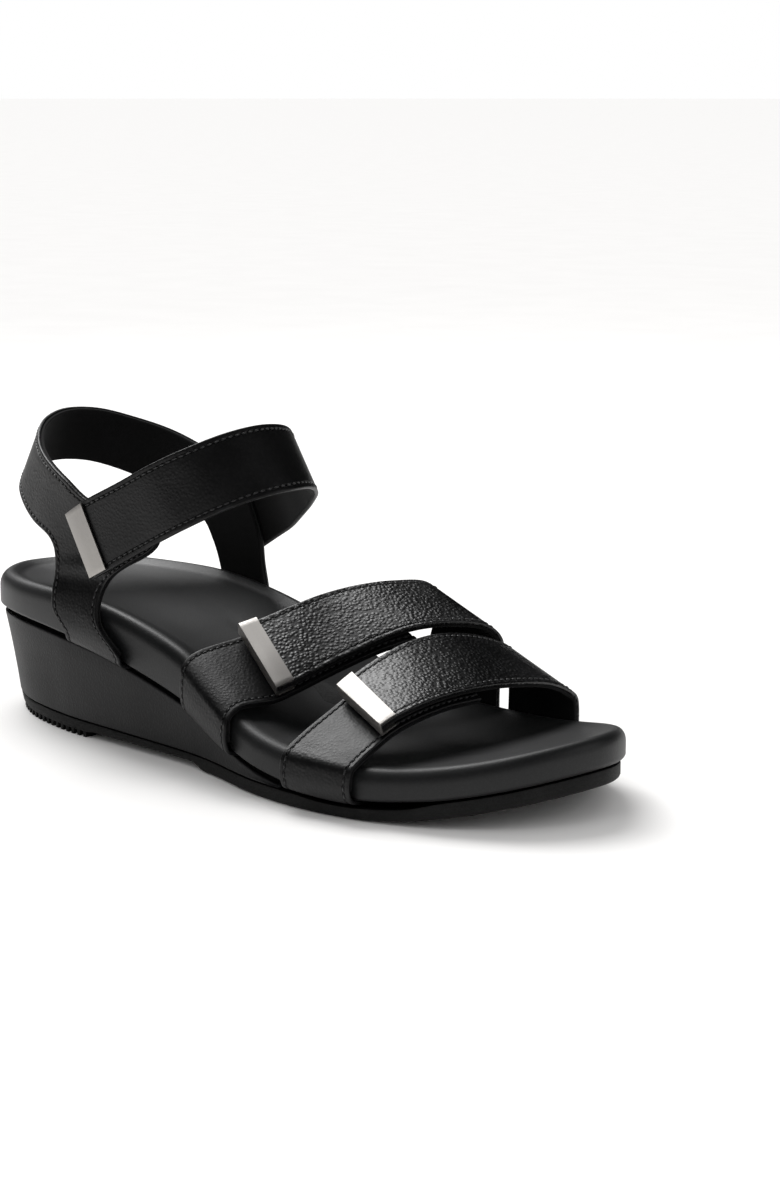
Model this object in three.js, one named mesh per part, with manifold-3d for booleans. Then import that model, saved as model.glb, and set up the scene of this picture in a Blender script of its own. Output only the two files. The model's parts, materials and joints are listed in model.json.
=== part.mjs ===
// A woman's wedge sandal for the right foot, with three hook-and-loop straps.
// Millimetres. +X points to the toe, +Y to the inner (medial) side, +Z up.
import * as THREE from 'three';
import { mergeVertices } from 'three/addons/utils/BufferGeometryUtils.js';
import Module from 'manifold-3d';

const wasm = await Module();
wasm.setup();

// ---- Driving dimensions ----------------------------------------------------
const footbedLength = 256; // of the last; the rounded ends make the footbed itself 3.5 mm shorter
const ballWidth = 90;
const heelWidth = 64;
const heelJointHeight = 34; // ground to the groove under the footbed, at the heel
const ballJointHeight = 5; // the same at the ball of the foot
const toeSpring = 11.3; // how far the groove climbs again at the toe
const footbedThickness = 11; // at the ball; the arch is thicker
const heelCup = 4; // depth of the hollow under the heel
const soleHeelThickness = 5.8;
const soleWaistThickness = 4.4;
const archRelief = 2; // the waist stands this far off the ground
const reliefStart = 72; // from the back of the footbed
const reliefEnd = 128;
const wedgeEnd = 172; // the wedge feathers out here, from the back of the footbed
const wrapThickness = 1.2;
const coverThickness = 1;
const marginGap = 0.6; // a strap's margin to the faces above and below it
const boardThickness = 1;
const boardInset = 16;
const shankLength = 110;
const shankWidth = 12;
const shankThickness = 1.2;
const shankStart = 34; // from the back of the footbed
const leather = 1.2; // outer leather of every strap
const lining = 0.8;
const tape = 0.7; // hook tape and loop tape
const tipWall = 0.6;
const gap = 0.3; // between any two pieces
const strapGap = 0.9; // strap lining to the side of the footbed
const marginDepth = 11; // lasting margin, tucked in under the footbed
const frontStrapWidth = 25; // at the outer side
const frontStrapInnerWidth = 26.7;
const frontStrapStart = 176.6; // rear edge at the outer side, from the back of the footbed
const frontStrapSkew = 7.4; // the inner side lies this much further forward
const instepStrapWidth = 25;
const instepStrapInnerWidth = 26;
const instepStrapStart = 126;
const instepStrapSkew = 28;
const tapeAcross = [0.14, 0.86]; // the tapes' edges, as shares of a strap's width
const stemStart = 63.5; // rear edge of the lateral stem, above its foot
const lateralStemWidth = 23;
const medialStemWidth = 21;
const stemFootSpread = 6; // the lateral stem starts wider and further forward than its neck

// ---- Values that follow ----------------------------------------------------
const halfLength = footbedLength / 2;
const strapThickness = leather + gap + lining;
const groove = leather + 2 * marginGap; // clear height between the footbed and the wedge
const seam = groove / 2;
const stack = strapThickness + gap + tape + gap + tape + gap; // strap face down to tab face
const sideClearance = strapGap + strapThickness;
const segments = 60;

const smooth = (t) => THREE.MathUtils.smoothstep(t, 0, 1);
const share = (x) => (x + halfLength) / footbedLength;
const fromHeel = (distance) => distance - halfLength;

// A smooth curve of value against share of the length, through [share, value] pairs.
function along(table, s) {
  const last = table.length - 1;
  const t = THREE.MathUtils.clamp(s, table[0][0], table[last][0]);
  let i = 0;
  while (i < last - 1 && t > table[i + 1][0]) i += 1;
  const slope = (k) => {
    const a = table[Math.max(k - 1, 0)];
    const b = table[Math.min(k + 1, last)];
    return (b[1] - a[1]) / (b[0] - a[0]);
  };
  const step = table[i + 1][0] - table[i][0];
  const f = (t - table[i][0]) / step;
  const rise = table[i + 1][1] - table[i][1];
  const m0 = slope(i) * step;
  const m1 = slope(i + 1) * step;
  return table[i][1] + f * (m0 + f * (3 * rise - 2 * m0 - m1 + f * (m0 + m1 - 2 * rise)));
}

// ---- Footbed outline and heights -------------------------------------------
// [share of the length, share of the local half width]
const lateralOutline = [
  [0.045, 0.54], [0.117, 0.89], [0.228, 1.09], [0.364, 1.14], [0.501, 1.0],
  [0.636, 1.018], [0.7535, 1.009], [0.87, 0.809], [0.955, 0.449],
];
const medialOutline = [
  [0.962, 0.5], [0.8926, 0.864], [0.775, 0.958], [0.6574, 0.876], [0.5203, 0.834],
  [0.3836, 0.989], [0.2473, 0.994], [0.1105, 0.9], [0.0324, 0.575],
];
const toePoint = [0.992, 0.1];
const backPoint = [0.006, 0];

function halfWidthAt(s) {
  return heelWidth / 2 + ((ballWidth - heelWidth) / 2) * smooth((s - 0.35) / 0.3);
}
function outlinePoint([s, across], side) {
  return new THREE.Vector3(s * footbedLength - halfLength, side * across * halfWidthAt(s), 0);
}
const outline = new THREE.CatmullRomCurve3([
  outlinePoint(backPoint, 1),
  ...lateralOutline.map((p) => outlinePoint(p, -1)),
  outlinePoint(toePoint, 1),
  ...medialOutline.map((p) => outlinePoint(p, 1)),
], true, 'centripetal');
outline.arcLengthDivisions = 800;
const fineOutline = outline.getSpacedPoints(800);

// y of the outline on one side (-1 lateral, 1 medial) at x
function sideY(side, x) {
  for (let i = 0; i < fineOutline.length - 1; i += 1) {
    const a = fineOutline[i];
    const b = fineOutline[i + 1];
    if (side * (a.y + b.y) > 0 && (a.x - x) * (b.x - x) <= 0 && a.x !== b.x) {
      return a.y + ((b.y - a.y) * (x - a.x)) / (b.x - a.x);
    }
  }
  return 0;
}

// Height of the groove between the footbed and what is under it.
const wedgeRamp = [
  [0, 0.955], [0.148, 1], [0.305, 0.883], [0.461, 0.572], [0.598, 0.166], [0.734, 0], [1, 0],
];
function jointZ(x) {
  const s = share(x);
  const spring = toeSpring * Math.max(0, (s - 0.734) / 0.266) ** 2;
  return ballJointHeight + (heelJointHeight - ballJointHeight) * along(wedgeRamp, s) + spring;
}
const thicknessShares = [
  [0, 1.14], [0.148, 1.15], [0.305, 1.4], [0.461, 1.42], [0.598, 1.04], [0.734, 1], [0.89, 0.95], [1, 0.98],
];
const rimZ = (x) => jointZ(x) + footbedThickness * along(thicknessShares, share(x));
const cupDepths = [[0, 1], [0.3, 0.9], [0.6, 0.35], [1, 0.2]];
const cupAt = (x) => heelCup * along(cupDepths, share(x));

function groundZ(x) {
  return Math.max(0, jointZ(x) - ballJointHeight) * (share(x) > 0.734 ? 1 : 0);
}
function soleTopZ(x) {
  const s = share(x);
  const heelLine = soleHeelThickness + (soleWaistThickness - soleHeelThickness) * smooth(s / 0.6);
  return Math.min(heelLine + groundZ(x), jointZ(x) - seam);
}
// How far the sole's edge lies inside the footbed's outline: the wedge tapers in at the back.
function soleInset(x) {
  return along([[0, 7.4], [0.15, 4.2], [0.5, 2.2], [0.72, 0.6], [1, 1.6]], share(x));
}
const lipInset = 1.4; // top of the wedge inside the footbed's outline
const wedgeWaist = 0.2; // hollow of the wedge's side

// ---- Solids ----------------------------------------------------------------
function toSolid(geometry) {
  geometry.deleteAttribute('normal');
  geometry.deleteAttribute('uv');
  const merged = mergeVertices(geometry, 1e-4);
  const triVerts = [];
  const index = merged.index.array;
  for (let i = 0; i < index.length; i += 3) {
    const [a, b, c] = index.slice(i, i + 3);
    if (a !== b && b !== c && c !== a) triVerts.push(a, b, c);
  }
  const facing = (list) => new wasm.Manifold(new wasm.Mesh({
    numProp: 3,
    vertProperties: new Float32Array(merged.attributes.position.array),
    triVerts: new Uint32Array(list),
  }));
  const solid = facing(triVerts);
  return solid.volume() > 0 ? solid : facing(triVerts.reverse());
}

const parts = new THREE.Group();
function addPart(name, solid, look) {
  const mesh = solid.getMesh();
  const geometry = new THREE.BufferGeometry();
  geometry.setAttribute('position', new THREE.BufferAttribute(new Float32Array(mesh.vertProperties), 3));
  geometry.setIndex(new THREE.BufferAttribute(new Uint32Array(mesh.triVerts), 1));
  geometry.computeVertexNormals();
  const part = new THREE.Mesh(geometry, new THREE.MeshStandardMaterial(look));
  part.name = name;
  parts.add(part);
}

const looks = {
  leather: { color: '#1b1b1c', roughness: 0.55 },
  liner: { color: '#262627', roughness: 0.7 },
  footbed: { color: '#2a2b2c', roughness: 0.6 },
  foam: { color: '#3a3a3a', roughness: 0.95 },
  board: { color: '#8a6f4d', roughness: 0.9 },
  rubber: { color: '#151515', roughness: 0.8 },
  tape: { color: '#101010', roughness: 1 },
  nickel: { color: '#b9b4ae', roughness: 0.35, metalness: 1 },
  steel: { color: '#8c8f92', roughness: 0.4, metalness: 1 },
};

// A body whose skin runs through rings that follow the outline. Each ring is
// { inset, shrink, z }: inside the outline by inset, then shrunk about the middle, at z(x, ring).
// The first and last rings have shrink 0, so that they close on the axis.
function ringBody(rings) {
  const profile = rings.map((ring, i) => new THREE.Vector2(ring.shrink === 0 ? 0 : 1 + ring.shrink, i));
  const geometry = new THREE.LatheGeometry(profile, segments);
  const position = geometry.attributes.position;
  const insetAt = (ring, x) => (typeof ring.inset === 'function' ? ring.inset(x) : ring.inset);
  for (let i = 0; i <= segments; i += 1) {
    const u = (i % segments) / segments;
    const onEdge = outline.getPointAt(u);
    const tangent = outline.getTangentAt(u);
    rings.forEach((ring, j) => {
      const inset = insetAt(ring, onEdge.x);
      const x = (onEdge.x - tangent.y * inset) * ring.shrink;
      const y = (onEdge.y + tangent.x * inset) * ring.shrink;
      position.setXYZ(i * rings.length + j, x, y, ring.z(x, ring));
    });
  }
  // A face that runs inwards has its quads split the other way, so that stacked faces match.
  const reach = (ring) => ring.shrink * ballWidth - insetAt(ring, 0);
  const index = [];
  for (let i = 0; i < segments; i += 1) {
    for (let j = 0; j < rings.length - 1; j += 1) {
      const a = i * rings.length + j;
      const b = a + rings.length;
      const inwards = reach(rings[j + 1]) < reach(rings[j]);
      index.push(...(inwards ? [a, b, b + 1, a, b + 1, a + 1] : [a, b, a + 1, b + 1, a + 1, b]));
    }
  }
  geometry.setIndex(index);
  return toSolid(geometry);
}

// The inner rings of a level face, from the middle out. Every layer uses the same ones, so
// that stacked faces stay parallel.
const faceRings = (z) => [
  { inset: 0, shrink: 0, z },
  { inset: boardInset, shrink: 0.35, z },
  { inset: boardInset, shrink: 0.7, z },
  { inset: boardInset, shrink: 1, z },
];

// A sheet between two edges, given by surface(k, v): k runs along it, v across it, and the
// third number is the height above that surface.
function sheet(surface, [k0, k1], [v0, v1], [h0, h1], steps, stepsAcross = 2) {
  const geometry = new THREE.BoxGeometry(1, 1, 1, steps, stepsAcross, 1);
  const position = geometry.attributes.position;
  for (let i = 0; i < position.count; i += 1) {
    const k = THREE.MathUtils.lerp(k0, k1, position.getX(i) + 0.5);
    const v = THREE.MathUtils.lerp(v0, v1, position.getY(i) + 0.5);
    const h = THREE.MathUtils.lerp(h0, h1, position.getZ(i) + 0.5);
    const point = surface(k, v, h);
    position.setXYZ(i, point.x, point.y, point.z);
  }
  return toSolid(geometry);
}

// The surface through a list of ribs, each [one edge's point, the other edge's point].
// outward is 1 or -1 and picks the side that faces away from the foot. tucked(k) is 1 where the
// sheet lies in the groove: there it follows the groove's curve between its two edges.
function ribSurface(ribs, outward, tucked = () => 0) {
  const edgeCurve = (e) => new THREE.CatmullRomCurve3(ribs.map((rib) => rib[e]), false, 'centripetal');
  const edges = [edgeCurve(0), edgeCurve(1)];
  const last = ribs.length - 1;
  const flat = (k, v) => {
    const t = THREE.MathUtils.clamp(k / last, 0, 1);
    const [a, b] = edges.map((edge) => edge.getPoint(t));
    const point = a.clone().lerp(b, v);
    point.z += tucked(k) * (jointZ(point.x) - THREE.MathUtils.lerp(jointZ(a.x), jointZ(b.x), v));
    return point;
  };
  return (k, v, h = 0) => {
    const dk = 0.02;
    const slopeK = flat(Math.min(k + dk, last), v).sub(flat(Math.max(k - dk, 0), v));
    const slopeV = flat(k, 1).sub(flat(k, 0));
    const normal = slopeK.cross(slopeV).normalize().multiplyScalar(outward);
    const point = flat(k, v).addScaledVector(normal, h);
    // Past an end the sheet runs straight on.
    if (k < 0) point.addScaledVector(flat(1, v).sub(flat(0, v)), k);
    if (k > last) point.addScaledVector(flat(last, v).sub(flat(last - 1, v)), k - last);
    return point;
  };
}

// ---- Bottom unit -----------------------------------------------------------
const soleBottomInset = (x) => soleInset(x) + 1;
addPart('outsole', ringBody([
  ...faceRings(groundZ),
  { inset: soleBottomInset, shrink: 1, z: groundZ },
  { inset: soleInset, shrink: 1, z: (x) => groundZ(x) + 1 },
  { inset: soleInset, shrink: 1, z: soleTopZ },
  ...faceRings(soleTopZ).reverse(),
]).subtract(sheet(
  (k, v, h) => new THREE.Vector3(fromHeel(k), v, h),
  [reliefStart, reliefEnd], [-ballWidth, ballWidth], [-1, archRelief], 1, 1,
)), looks.rubber);

const wedgeTopZ = (x) => jointZ(x) - seam;
const wedgeBottomZ = (x) => soleTopZ(x) + gap;
const beforeWedgeEnd = sheet(
  (k, v, h) => new THREE.Vector3(fromHeel(k), v, h),
  [-footbedLength, wedgeEnd], [-ballWidth, ballWidth], [-footbedLength, footbedLength], 1, 1,
);
const coreGap = wrapThickness + 2 * gap;
const waistInset = (x) => (soleInset(x) + lipInset) / 2 + wedgeWaist + coreGap;
const waistZ = (x) => (wedgeTopZ(x) + wedgeBottomZ(x)) / 2;
const wedgeCore = ringBody([
  ...faceRings(wedgeBottomZ),
  { inset: (x) => soleInset(x) + coreGap, shrink: 1, z: wedgeBottomZ },
  { inset: waistInset, shrink: 1, z: waistZ },
  { inset: lipInset + coreGap, shrink: 1, z: wedgeTopZ },
  ...faceRings(wedgeTopZ).reverse(),
]);
const shankSurface = (k, v, h) => {
  const x = fromHeel(k);
  return new THREE.Vector3(x, v, jointZ(x) - seam - gap + h);
};
const shankEnd = shankStart + shankLength;
const shankHalf = shankWidth / 2;
addPart('wedge_core', wedgeCore.intersect(beforeWedgeEnd).subtract(sheet(
  shankSurface,
  [shankStart - gap, shankEnd + gap],
  [-shankHalf - gap, shankHalf + gap],
  [-shankThickness - gap, 3], 12, 1,
)), looks.foam);
addPart('shank', sheet(
  shankSurface, [shankStart, shankEnd], [-shankHalf, shankHalf], [-shankThickness, 0], 12, 1,
), looks.steel);

// The wrap is a band round the wedge's side, open at the front where the wedge runs out.
function wrapSurface(k, v, h) {
  const u = THREE.MathUtils.euclideanModulo(k, 1);
  const onEdge = outline.getPointAt(u);
  const tangent = outline.getTangentAt(u);
  const low = soleInset(onEdge.x);
  const inset = THREE.MathUtils.lerp(low, lipInset, v) + wedgeWaist * 4 * v * (1 - v) - h;
  const x = onEdge.x - tangent.y * inset;
  const y = onEdge.y + tangent.x * inset;
  return new THREE.Vector3(x, y, THREE.MathUtils.lerp(wedgeBottomZ(x), wedgeTopZ(x), v));
}
addPart('wedge_wrap', sheet(
  wrapSurface, [-0.5, 0.5], [0, 1], [-wrapThickness, 0], segments, 2,
).intersect(beforeWedgeEnd), looks.leather);

addPart('insole_board', ringBody([
  ...faceRings((x) => jointZ(x) - boardThickness / 2),
  ...faceRings((x) => jointZ(x) + boardThickness / 2).reverse(),
]), looks.board);

// Footbed: a foam core in a leather cover that turns under its edge.
const bedBottomZ = (x) => jointZ(x) + seam;
const turnUnder = 8;
const inside = coverThickness + gap;
const bedEdge = 5; // height of the rounded upper edge
const bedTopZ = (x, ring) => {
  const spread = ring.shrink * (1 - ring.inset / halfWidthAt(share(x)));
  return rimZ(x) - 0.2 - cupAt(x) * (1 - spread * spread);
};
const bedTop = (depth) => [
  ...faceRings((x, ring) => bedTopZ(x, ring) - depth),
  { inset: turnUnder, shrink: 1, z: (x, ring) => bedTopZ(x, ring) - depth },
];
// The footbed's side: [inside the outline, below the rim] or [inside the outline, above the underside].
const upperEdge = (pairs) => pairs.map(([inset, below]) => (
  { inset, shrink: 1, z: (x) => rimZ(x) - below }
));
const lowerEdge = (pairs) => pairs.map(([inset, above]) => (
  { inset, shrink: 1, z: (x) => bedBottomZ(x) + above }
));
const wall = coverThickness;
addPart('footbed_cover', ringBody([
  ...bedTop(0),
  ...upperEdge([[3.4, 0.3], [0.9, 2.2], [0, bedEdge]]),
  ...lowerEdge([[0.8, 1.6], [3.4, 0], [turnUnder, 0]]),
  ...lowerEdge([[turnUnder, wall], [2.6 + wall, wall], [0.9 + wall, 1.3 + wall]]),
  ...upperEdge([[wall, bedEdge], [0.8 + wall, 1.9 + wall], [3 + wall, 0.3 + wall]]),
  ...bedTop(wall).reverse(),
]), looks.footbed);
addPart('footbed_core', ringBody([
  ...faceRings(bedBottomZ),
  ...lowerEdge([[turnUnder + gap, 0], [turnUnder + gap, inside]]),
  ...lowerEdge([[2.5 + inside, inside], [1 + inside, 1.3 + inside]]),
  ...upperEdge([[0.1 + inside, bedEdge + 0.1], [1 + inside, 2 + inside], [3.1 + inside, 0.4 + inside]]),
  ...bedTop(inside).reverse(),
]), looks.foam);

// ---- Ribs that hold every strap to the bottom unit -------------------------
// A point beside the footbed: out from its outline, and up from the groove or the rim.
function beside(side, x, out, z) {
  return new THREE.Vector3(x, sideY(side, x) + side * out, z);
}
const bend = leather + 3.5; // outer radius where a strap turns in under the footbed
const neckBelowRim = 4.5; // a strap is upright up to here
function tuckedRibs(side, foot, neck = foot) {
  const atX = (out, z, xs = foot) => xs.map((x) => beside(side, x, out, z(x)));
  const marginZ = (x) => jointZ(x) - leather / 2;
  const corner = bend * (1 - Math.SQRT1_2);
  return [
    atX(-marginDepth, marginZ),
    atX(sideClearance - bend - 1, marginZ),
    atX(sideClearance - corner, (x) => marginZ(x) + corner),
    atX(sideClearance, (x) => marginZ(x) + bend),
    atX(sideClearance, (x) => rimZ(x) - neckBelowRim, neck),
  ];
}
const marginRibs = 3; // index of the rib where the strap has turned upright
const tuckedStart = (k) => 1 - smooth(k - marginRibs);

// A rib point over the footbed: across is -1 at the lateral outline, 1 at the medial one.
function over(lateralX, medialX, [across, rise]) {
  const x = THREE.MathUtils.lerp(lateralX, medialX, (across + 1) / 2);
  return new THREE.Vector3(x, Math.abs(across) * sideY(Math.sign(across) || 1, x), rimZ(x) + rise);
}

// ---- Front and instep straps -----------------------------------------------
// crown lists [across, rise above the rim] of both edges, from the medial side to the tip.
function buildStrap(name, spec) {
  const { lateralX, medialX, hingeRise, hingeOut, shoulder, crown } = spec;
  const tucked = tuckedRibs(1, medialX);
  const hingePoint = (x, e) => beside(1, x, sideClearance + hingeOut[e], rimZ(x) + hingeRise[e]);
  const hingeRib = medialX.map(hingePoint);
  const crownRibs = crown.map((pair) => pair.map((p, e) => over(lateralX[e], medialX[e], p)));
  const ribs = [...tucked, hingeRib, ...crownRibs];
  const surface = ribSurface(ribs, 1, tuckedStart);
  const hingeK = tucked.length;
  const end = ribs.length - 1; // outer end of the metal tip; it starts one rib earlier
  const slit = gap / surface(hingeK, 0.5).distanceTo(surface(hingeK + 1, 0.5));
  const tipLength = surface(end - 1, 0.5).distanceTo(surface(end, 0.5));
  const tipWallK = (tipWall + gap) / tipLength;
  const strapEnd = end - tipWallK;
  const full = [0, 1];
  const width = surface(end, 0).distanceTo(surface(end, 1));
  const sideV = (reach) => [-reach / width, 1 + reach / width];
  const under = strapThickness + gap;

  const rootReach = [0, hingeK - slit];
  addPart(`${name}_strap_root`, sheet(surface, rootReach, full, [-leather, 0], 10, 3), looks.leather);
  addPart(`${name}_strap_root_lining`, sheet(
    surface, [marginRibs, hingeK - slit], full, [-strapThickness, -leather - gap], 4, 3,
  ), looks.liner);
  addPart(`${name}_strap`, sheet(surface, [hingeK, strapEnd], full, [-leather, 0], 18), looks.leather);
  addPart(`${name}_strap_lining`, sheet(
    surface, [hingeK, strapEnd], full, [-strapThickness, -leather - gap], 18,
  ), looks.liner);
  addPart(`${name}_hook_tape`, sheet(
    surface, [spec.tapeFrom, end - 1 - tipWallK], tapeAcross, [-under - tape, -under], 6,
  ), looks.tape);
  addPart(`${name}_loop_tape`, sheet(
    surface, [spec.tapeFrom, end - 1 - tipWallK], tapeAcross,
    [-under - gap - 2 * tape, -under - gap - tape], 6,
  ), looks.tape);
  addPart(`${name}_strap_tip`, sheet(
    surface, [end - 1, end], sideV(gap + tipWall), [-under - tipWall, gap + tipWall], 3,
  ).subtract(sheet(
    surface, [end - 1.3, end - tipWall / tipLength], sideV(gap), [-under, gap], 4,
  )), looks.nickel);

  // The tab comes up from the lateral side and lies under the strap, with the tapes between.
  const tabRibs = [
    ...tuckedRibs(-1, lateralX),
    lateralX.map((x) => beside(-1, x, sideClearance - 1, rimZ(x) - 0.5)),
    lateralX.map((x, e) => over(x, x, shoulder[e])),
  ];
  for (let k = end; k >= spec.tabReach; k -= 1) {
    tabRibs.push([surface(k, 0, -stack), surface(k, 1, -stack)]);
  }
  const tabSurface = ribSurface(tabRibs, -1, tuckedStart);
  const tabEnd = tabRibs.length - 1;
  addPart(`${name}_tab`, sheet(tabSurface, [0, tabEnd], full, [-leather, 0], 2 * tabEnd, 3), looks.leather);
  addPart(`${name}_tab_lining`, sheet(
    tabSurface, [marginRibs, tabEnd], full, [-strapThickness, -leather - gap], 2 * (tabEnd - marginRibs), 3,
  ), looks.liner);
}

const frontX = fromHeel(frontStrapStart);
buildStrap('front', {
  lateralX: [frontX, frontX + frontStrapWidth],
  medialX: [frontX + frontStrapSkew, frontX + frontStrapSkew + frontStrapInnerWidth],
  hingeRise: [7, 5.5],
  hingeOut: [0.3, -0.6],
  shoulder: [[-0.93, 3.1], [-0.985, 1.5]],
  crown: [
    [[1.05, 17.5], [1.0, 8]], [[0.89, 21.4], [0.8, 12.1]], [[0.6, 25], [0.5, 14.5]],
    [[0.3, 26.6], [0.15, 15.9]], [[0, 25.6], [-0.15, 15.9]], [[-0.24, 22.6], [-0.42, 14.8]],
    [[-0.45, 18.9], [-0.67, 12.6]], [[-0.58, 15.9], [-0.8, 10.5]],
  ],
  tapeFrom: 9.3,
  tabReach: 9,
});
const instepX = fromHeel(instepStrapStart);
buildStrap('instep', {
  lateralX: [instepX, instepX + instepStrapWidth],
  medialX: [instepX + instepStrapSkew, instepX + instepStrapSkew + instepStrapInnerWidth],
  hingeRise: [12, 6.2],
  hingeOut: [1.7, 0.3],
  shoulder: [[-0.93, 2.6], [-0.93, 2.8]],
  crown: [
    [[1.16, 26], [1.08, 19]], [[1.04, 31], [0.97, 24.2]], [[0.75, 31.3], [0.72, 26.4]],
    [[0.42, 29], [0.4, 26]], [[0.1, 24.9], [0.1, 22.6]], [[-0.16, 20.2], [-0.22, 17.2]],
    [[-0.42, 15.2], [-0.54, 10.9]], [[-0.57, 12.6], [-0.67, 8.6]],
  ],
  tapeFrom: 9.3,
  tabReach: 9,
});

// ---- Ankle strap and back quarter ------------------------------------------
// Places round the heel: distance from the back of the footbed, share of the half heel
// width (negative is lateral), height above the rim at the heel.
const seatZ = rimZ(fromHeel(38));
function heelPoint([distance, across, above]) {
  return new THREE.Vector3(fromHeel(distance), (across * heelWidth) / 2, seatZ + above);
}
// The strap's upper and lower edge, from the lateral tag round the instep to the fold.
const ankleFree = [
  [[73, -1.235, 27.4], [85, -1.25, 7.7]], [[81, -1.25, 31.9], [92.7, -1.25, 11.5]],
  [[96, -1.205, 39.2], [107.5, -1.165, 19.6]], [[108.5, -1.12, 45.9], [121, -1.055, 26.9]],
  [[119.5, -0.94, 51.7], [133.5, -0.81, 33.9]], [[125, -0.64, 55.4], [140, -0.53, 37.4]],
  [[127.5, -0.3, 57], [142, -0.25, 38.4]], [[125.5, 0.08, 56], [139.5, 0.06, 37.6]],
  [[119.5, 0.42, 52.8], [133, 0.375, 34.2]], [[109.5, 0.72, 47.4], [122, 0.655, 28.4]],
  [[99, 0.92, 41.9], [111, 0.86, 22.4]], [[90, 1.065, 36.9], [101, 1.02, 16.9]],
].map((pair) => pair.map(heelPoint));
const stemY = (1.03 * heelWidth) / 2; // outer face of the quarter on the medial side
const anchorY = stemY + gap + strapThickness;
function anchorPoint(distance, y, above) {
  return new THREE.Vector3(fromHeel(distance), y, seatZ + above);
}
const ankleAnchor = [
  [anchorPoint(80.5, anchorY + 0.4, 31.9), anchorPoint(91, anchorY - 0.1, 11.9)],
  [anchorPoint(71, anchorY + 0.1, 26), anchorPoint(82, anchorY + 0.1, 6.6)],
];
const ankleRibs = [...ankleFree, ...ankleAnchor];
const ankleSurface = ribSurface(ankleRibs, -1);
const ankleHinge = ankleFree.length - 1;
const ankleEnd = ankleRibs.length - 1;
const tagWidth = ankleSurface(0, 0.5).distanceTo(ankleSurface(1, 0.5));
const tagLength = ankleSurface(0.5, 0).distanceTo(ankleSurface(0.5, 1));
const tagWallK = (tipWall + gap) / tagWidth;
const ankleSlit = gap / ankleSurface(ankleHinge, 0.5).distanceTo(ankleSurface(ankleHinge + 1, 0.5));
const tagV = (reach) => [-reach / tagLength, 1 + reach / tagLength];
const underAnkle = strapThickness + gap;
const outerLayer = [-leather, 0];
const liningLayer = [-strapThickness, -leather - gap];

addPart('ankle_strap', sheet(ankleSurface, [tagWallK, ankleHinge], [0, 1], outerLayer, 30), looks.leather);
addPart('ankle_strap_lining', sheet(
  ankleSurface, [tagWallK, ankleHinge], [0, 1], liningLayer, 30,
), looks.liner);
addPart('ankle_strap_root', sheet(
  ankleSurface, [ankleHinge + ankleSlit, ankleEnd], [0, 1], outerLayer, 5,
), looks.leather);
addPart('ankle_strap_root_lining', sheet(
  ankleSurface, [ankleHinge + ankleSlit, ankleEnd], [0, 1], liningLayer, 5,
), looks.liner);
addPart('ankle_strap_tag', sheet(
  ankleSurface, [0, 1], tagV(gap + tipWall), [-underAnkle - tipWall, gap + tipWall], 3,
).subtract(sheet(
  ankleSurface, [tipWall / tagWidth, 1.3], tagV(gap), [-underAnkle, gap], 4,
)), looks.nickel);
const armReach = 2.1; // ribs of the ankle strap that the quarter's arm reaches along
const armTop = 0.3; // the arm is narrower than the strap by this share, at its upper edge
const armBottom = 0.92; // and by the rest of this share at its lower edge, where it ends
const ankleTapeV = [armTop + 0.06, 0.84];
addPart('ankle_hook_tape', sheet(
  ankleSurface, [1 + tagWallK, armReach], ankleTapeV, [-underAnkle - tape, -underAnkle], 4,
), looks.tape);
addPart('ankle_loop_tape', sheet(
  ankleSurface, [1 + tagWallK, armReach], ankleTapeV,
  [-underAnkle - gap - 2 * tape, -underAnkle - gap - tape], 4,
), looks.tape);

// The quarter starts under the footbed on the lateral side, sends an arm forward under the
// ankle strap, runs round the back of the heel and comes down on the medial side.
const stemX = fromHeel(stemStart);
const lateralNeck = [stemX, stemX + lateralStemWidth];
const lateralFoot = [stemX + stemFootSpread, stemX + lateralStemWidth + 1.6 * stemFootSpread];
const medialStem = [stemX + 3, stemX + 3 + medialStemWidth];
const armPoint = (k, v) => ankleSurface(k, v, -stack);
const slingRibs = [
  [[46.5, -0.985, 20.9], [65.6, -1.08, 37.1]], [[36, -0.85, 25.5], [50, -0.92, 42.8]],
  [[27.6, -0.67, 29.4], [38.6, -0.685, 47.1]], [[20, -0.35, 33.2], [29, -0.34, 51]],
  [[17.5, 0.03, 34.9], [24.5, 0.06, 52.8]], [[20.5, 0.4, 33.9], [27, 0.44, 51.9]],
  [[27, 0.67, 30.9], [35, 0.73, 48.7]], [[38, 0.9, 25.7], [47, 0.95, 44.4]],
  [[50, 1.0, 19.9], [63, 1.03, 38.4]],
].map((pair) => pair.map(heelPoint));
const quarterRibs = [
  ...tuckedRibs(-1, lateralFoot, lateralNeck),
  [heelPoint([62.3, -1.17, 1]), heelPoint([84.8, -1.18, 0.6])],
  [heelPoint([61.6, -1.12, 5]), heelPoint([86.2, -1.12, 6])],
  [heelPoint([61.4, -1.1, 8.6]), armPoint(1.2, 1)],
  [heelPoint([61, -1.09, 11.6]), armPoint(armReach, armBottom)],
  [heelPoint([60, -1.08, 14.4]), armPoint(armReach, armTop)],
  [heelPoint([57, -1.06, 17.2]), heelPoint([79.5, -1.1, 30.9])],
  ...slingRibs,
  [heelPoint([60, 1.03, 14.9]), heelPoint([76, 1.03, 32.4])],
  [heelPoint([64, 1.03, 9.4]), heelPoint([86.5, 1.03, 13.4])],
  [heelPoint([66.5, 1.04, 3.6]), heelPoint([88, 1.03, 3.6])],
  ...tuckedRibs(1, medialStem).reverse(),
];
const quarterEnd = quarterRibs.length - 1;
const tuckedEnds = (k) => tuckedStart(Math.min(k, quarterEnd - k));
const quarterSurface = ribSurface(quarterRibs, -1, tuckedEnds);
addPart('back_quarter', sheet(
  quarterSurface, [0, quarterEnd], [0, 1], outerLayer, 2 * quarterEnd, 3,
), looks.leather);
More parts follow.
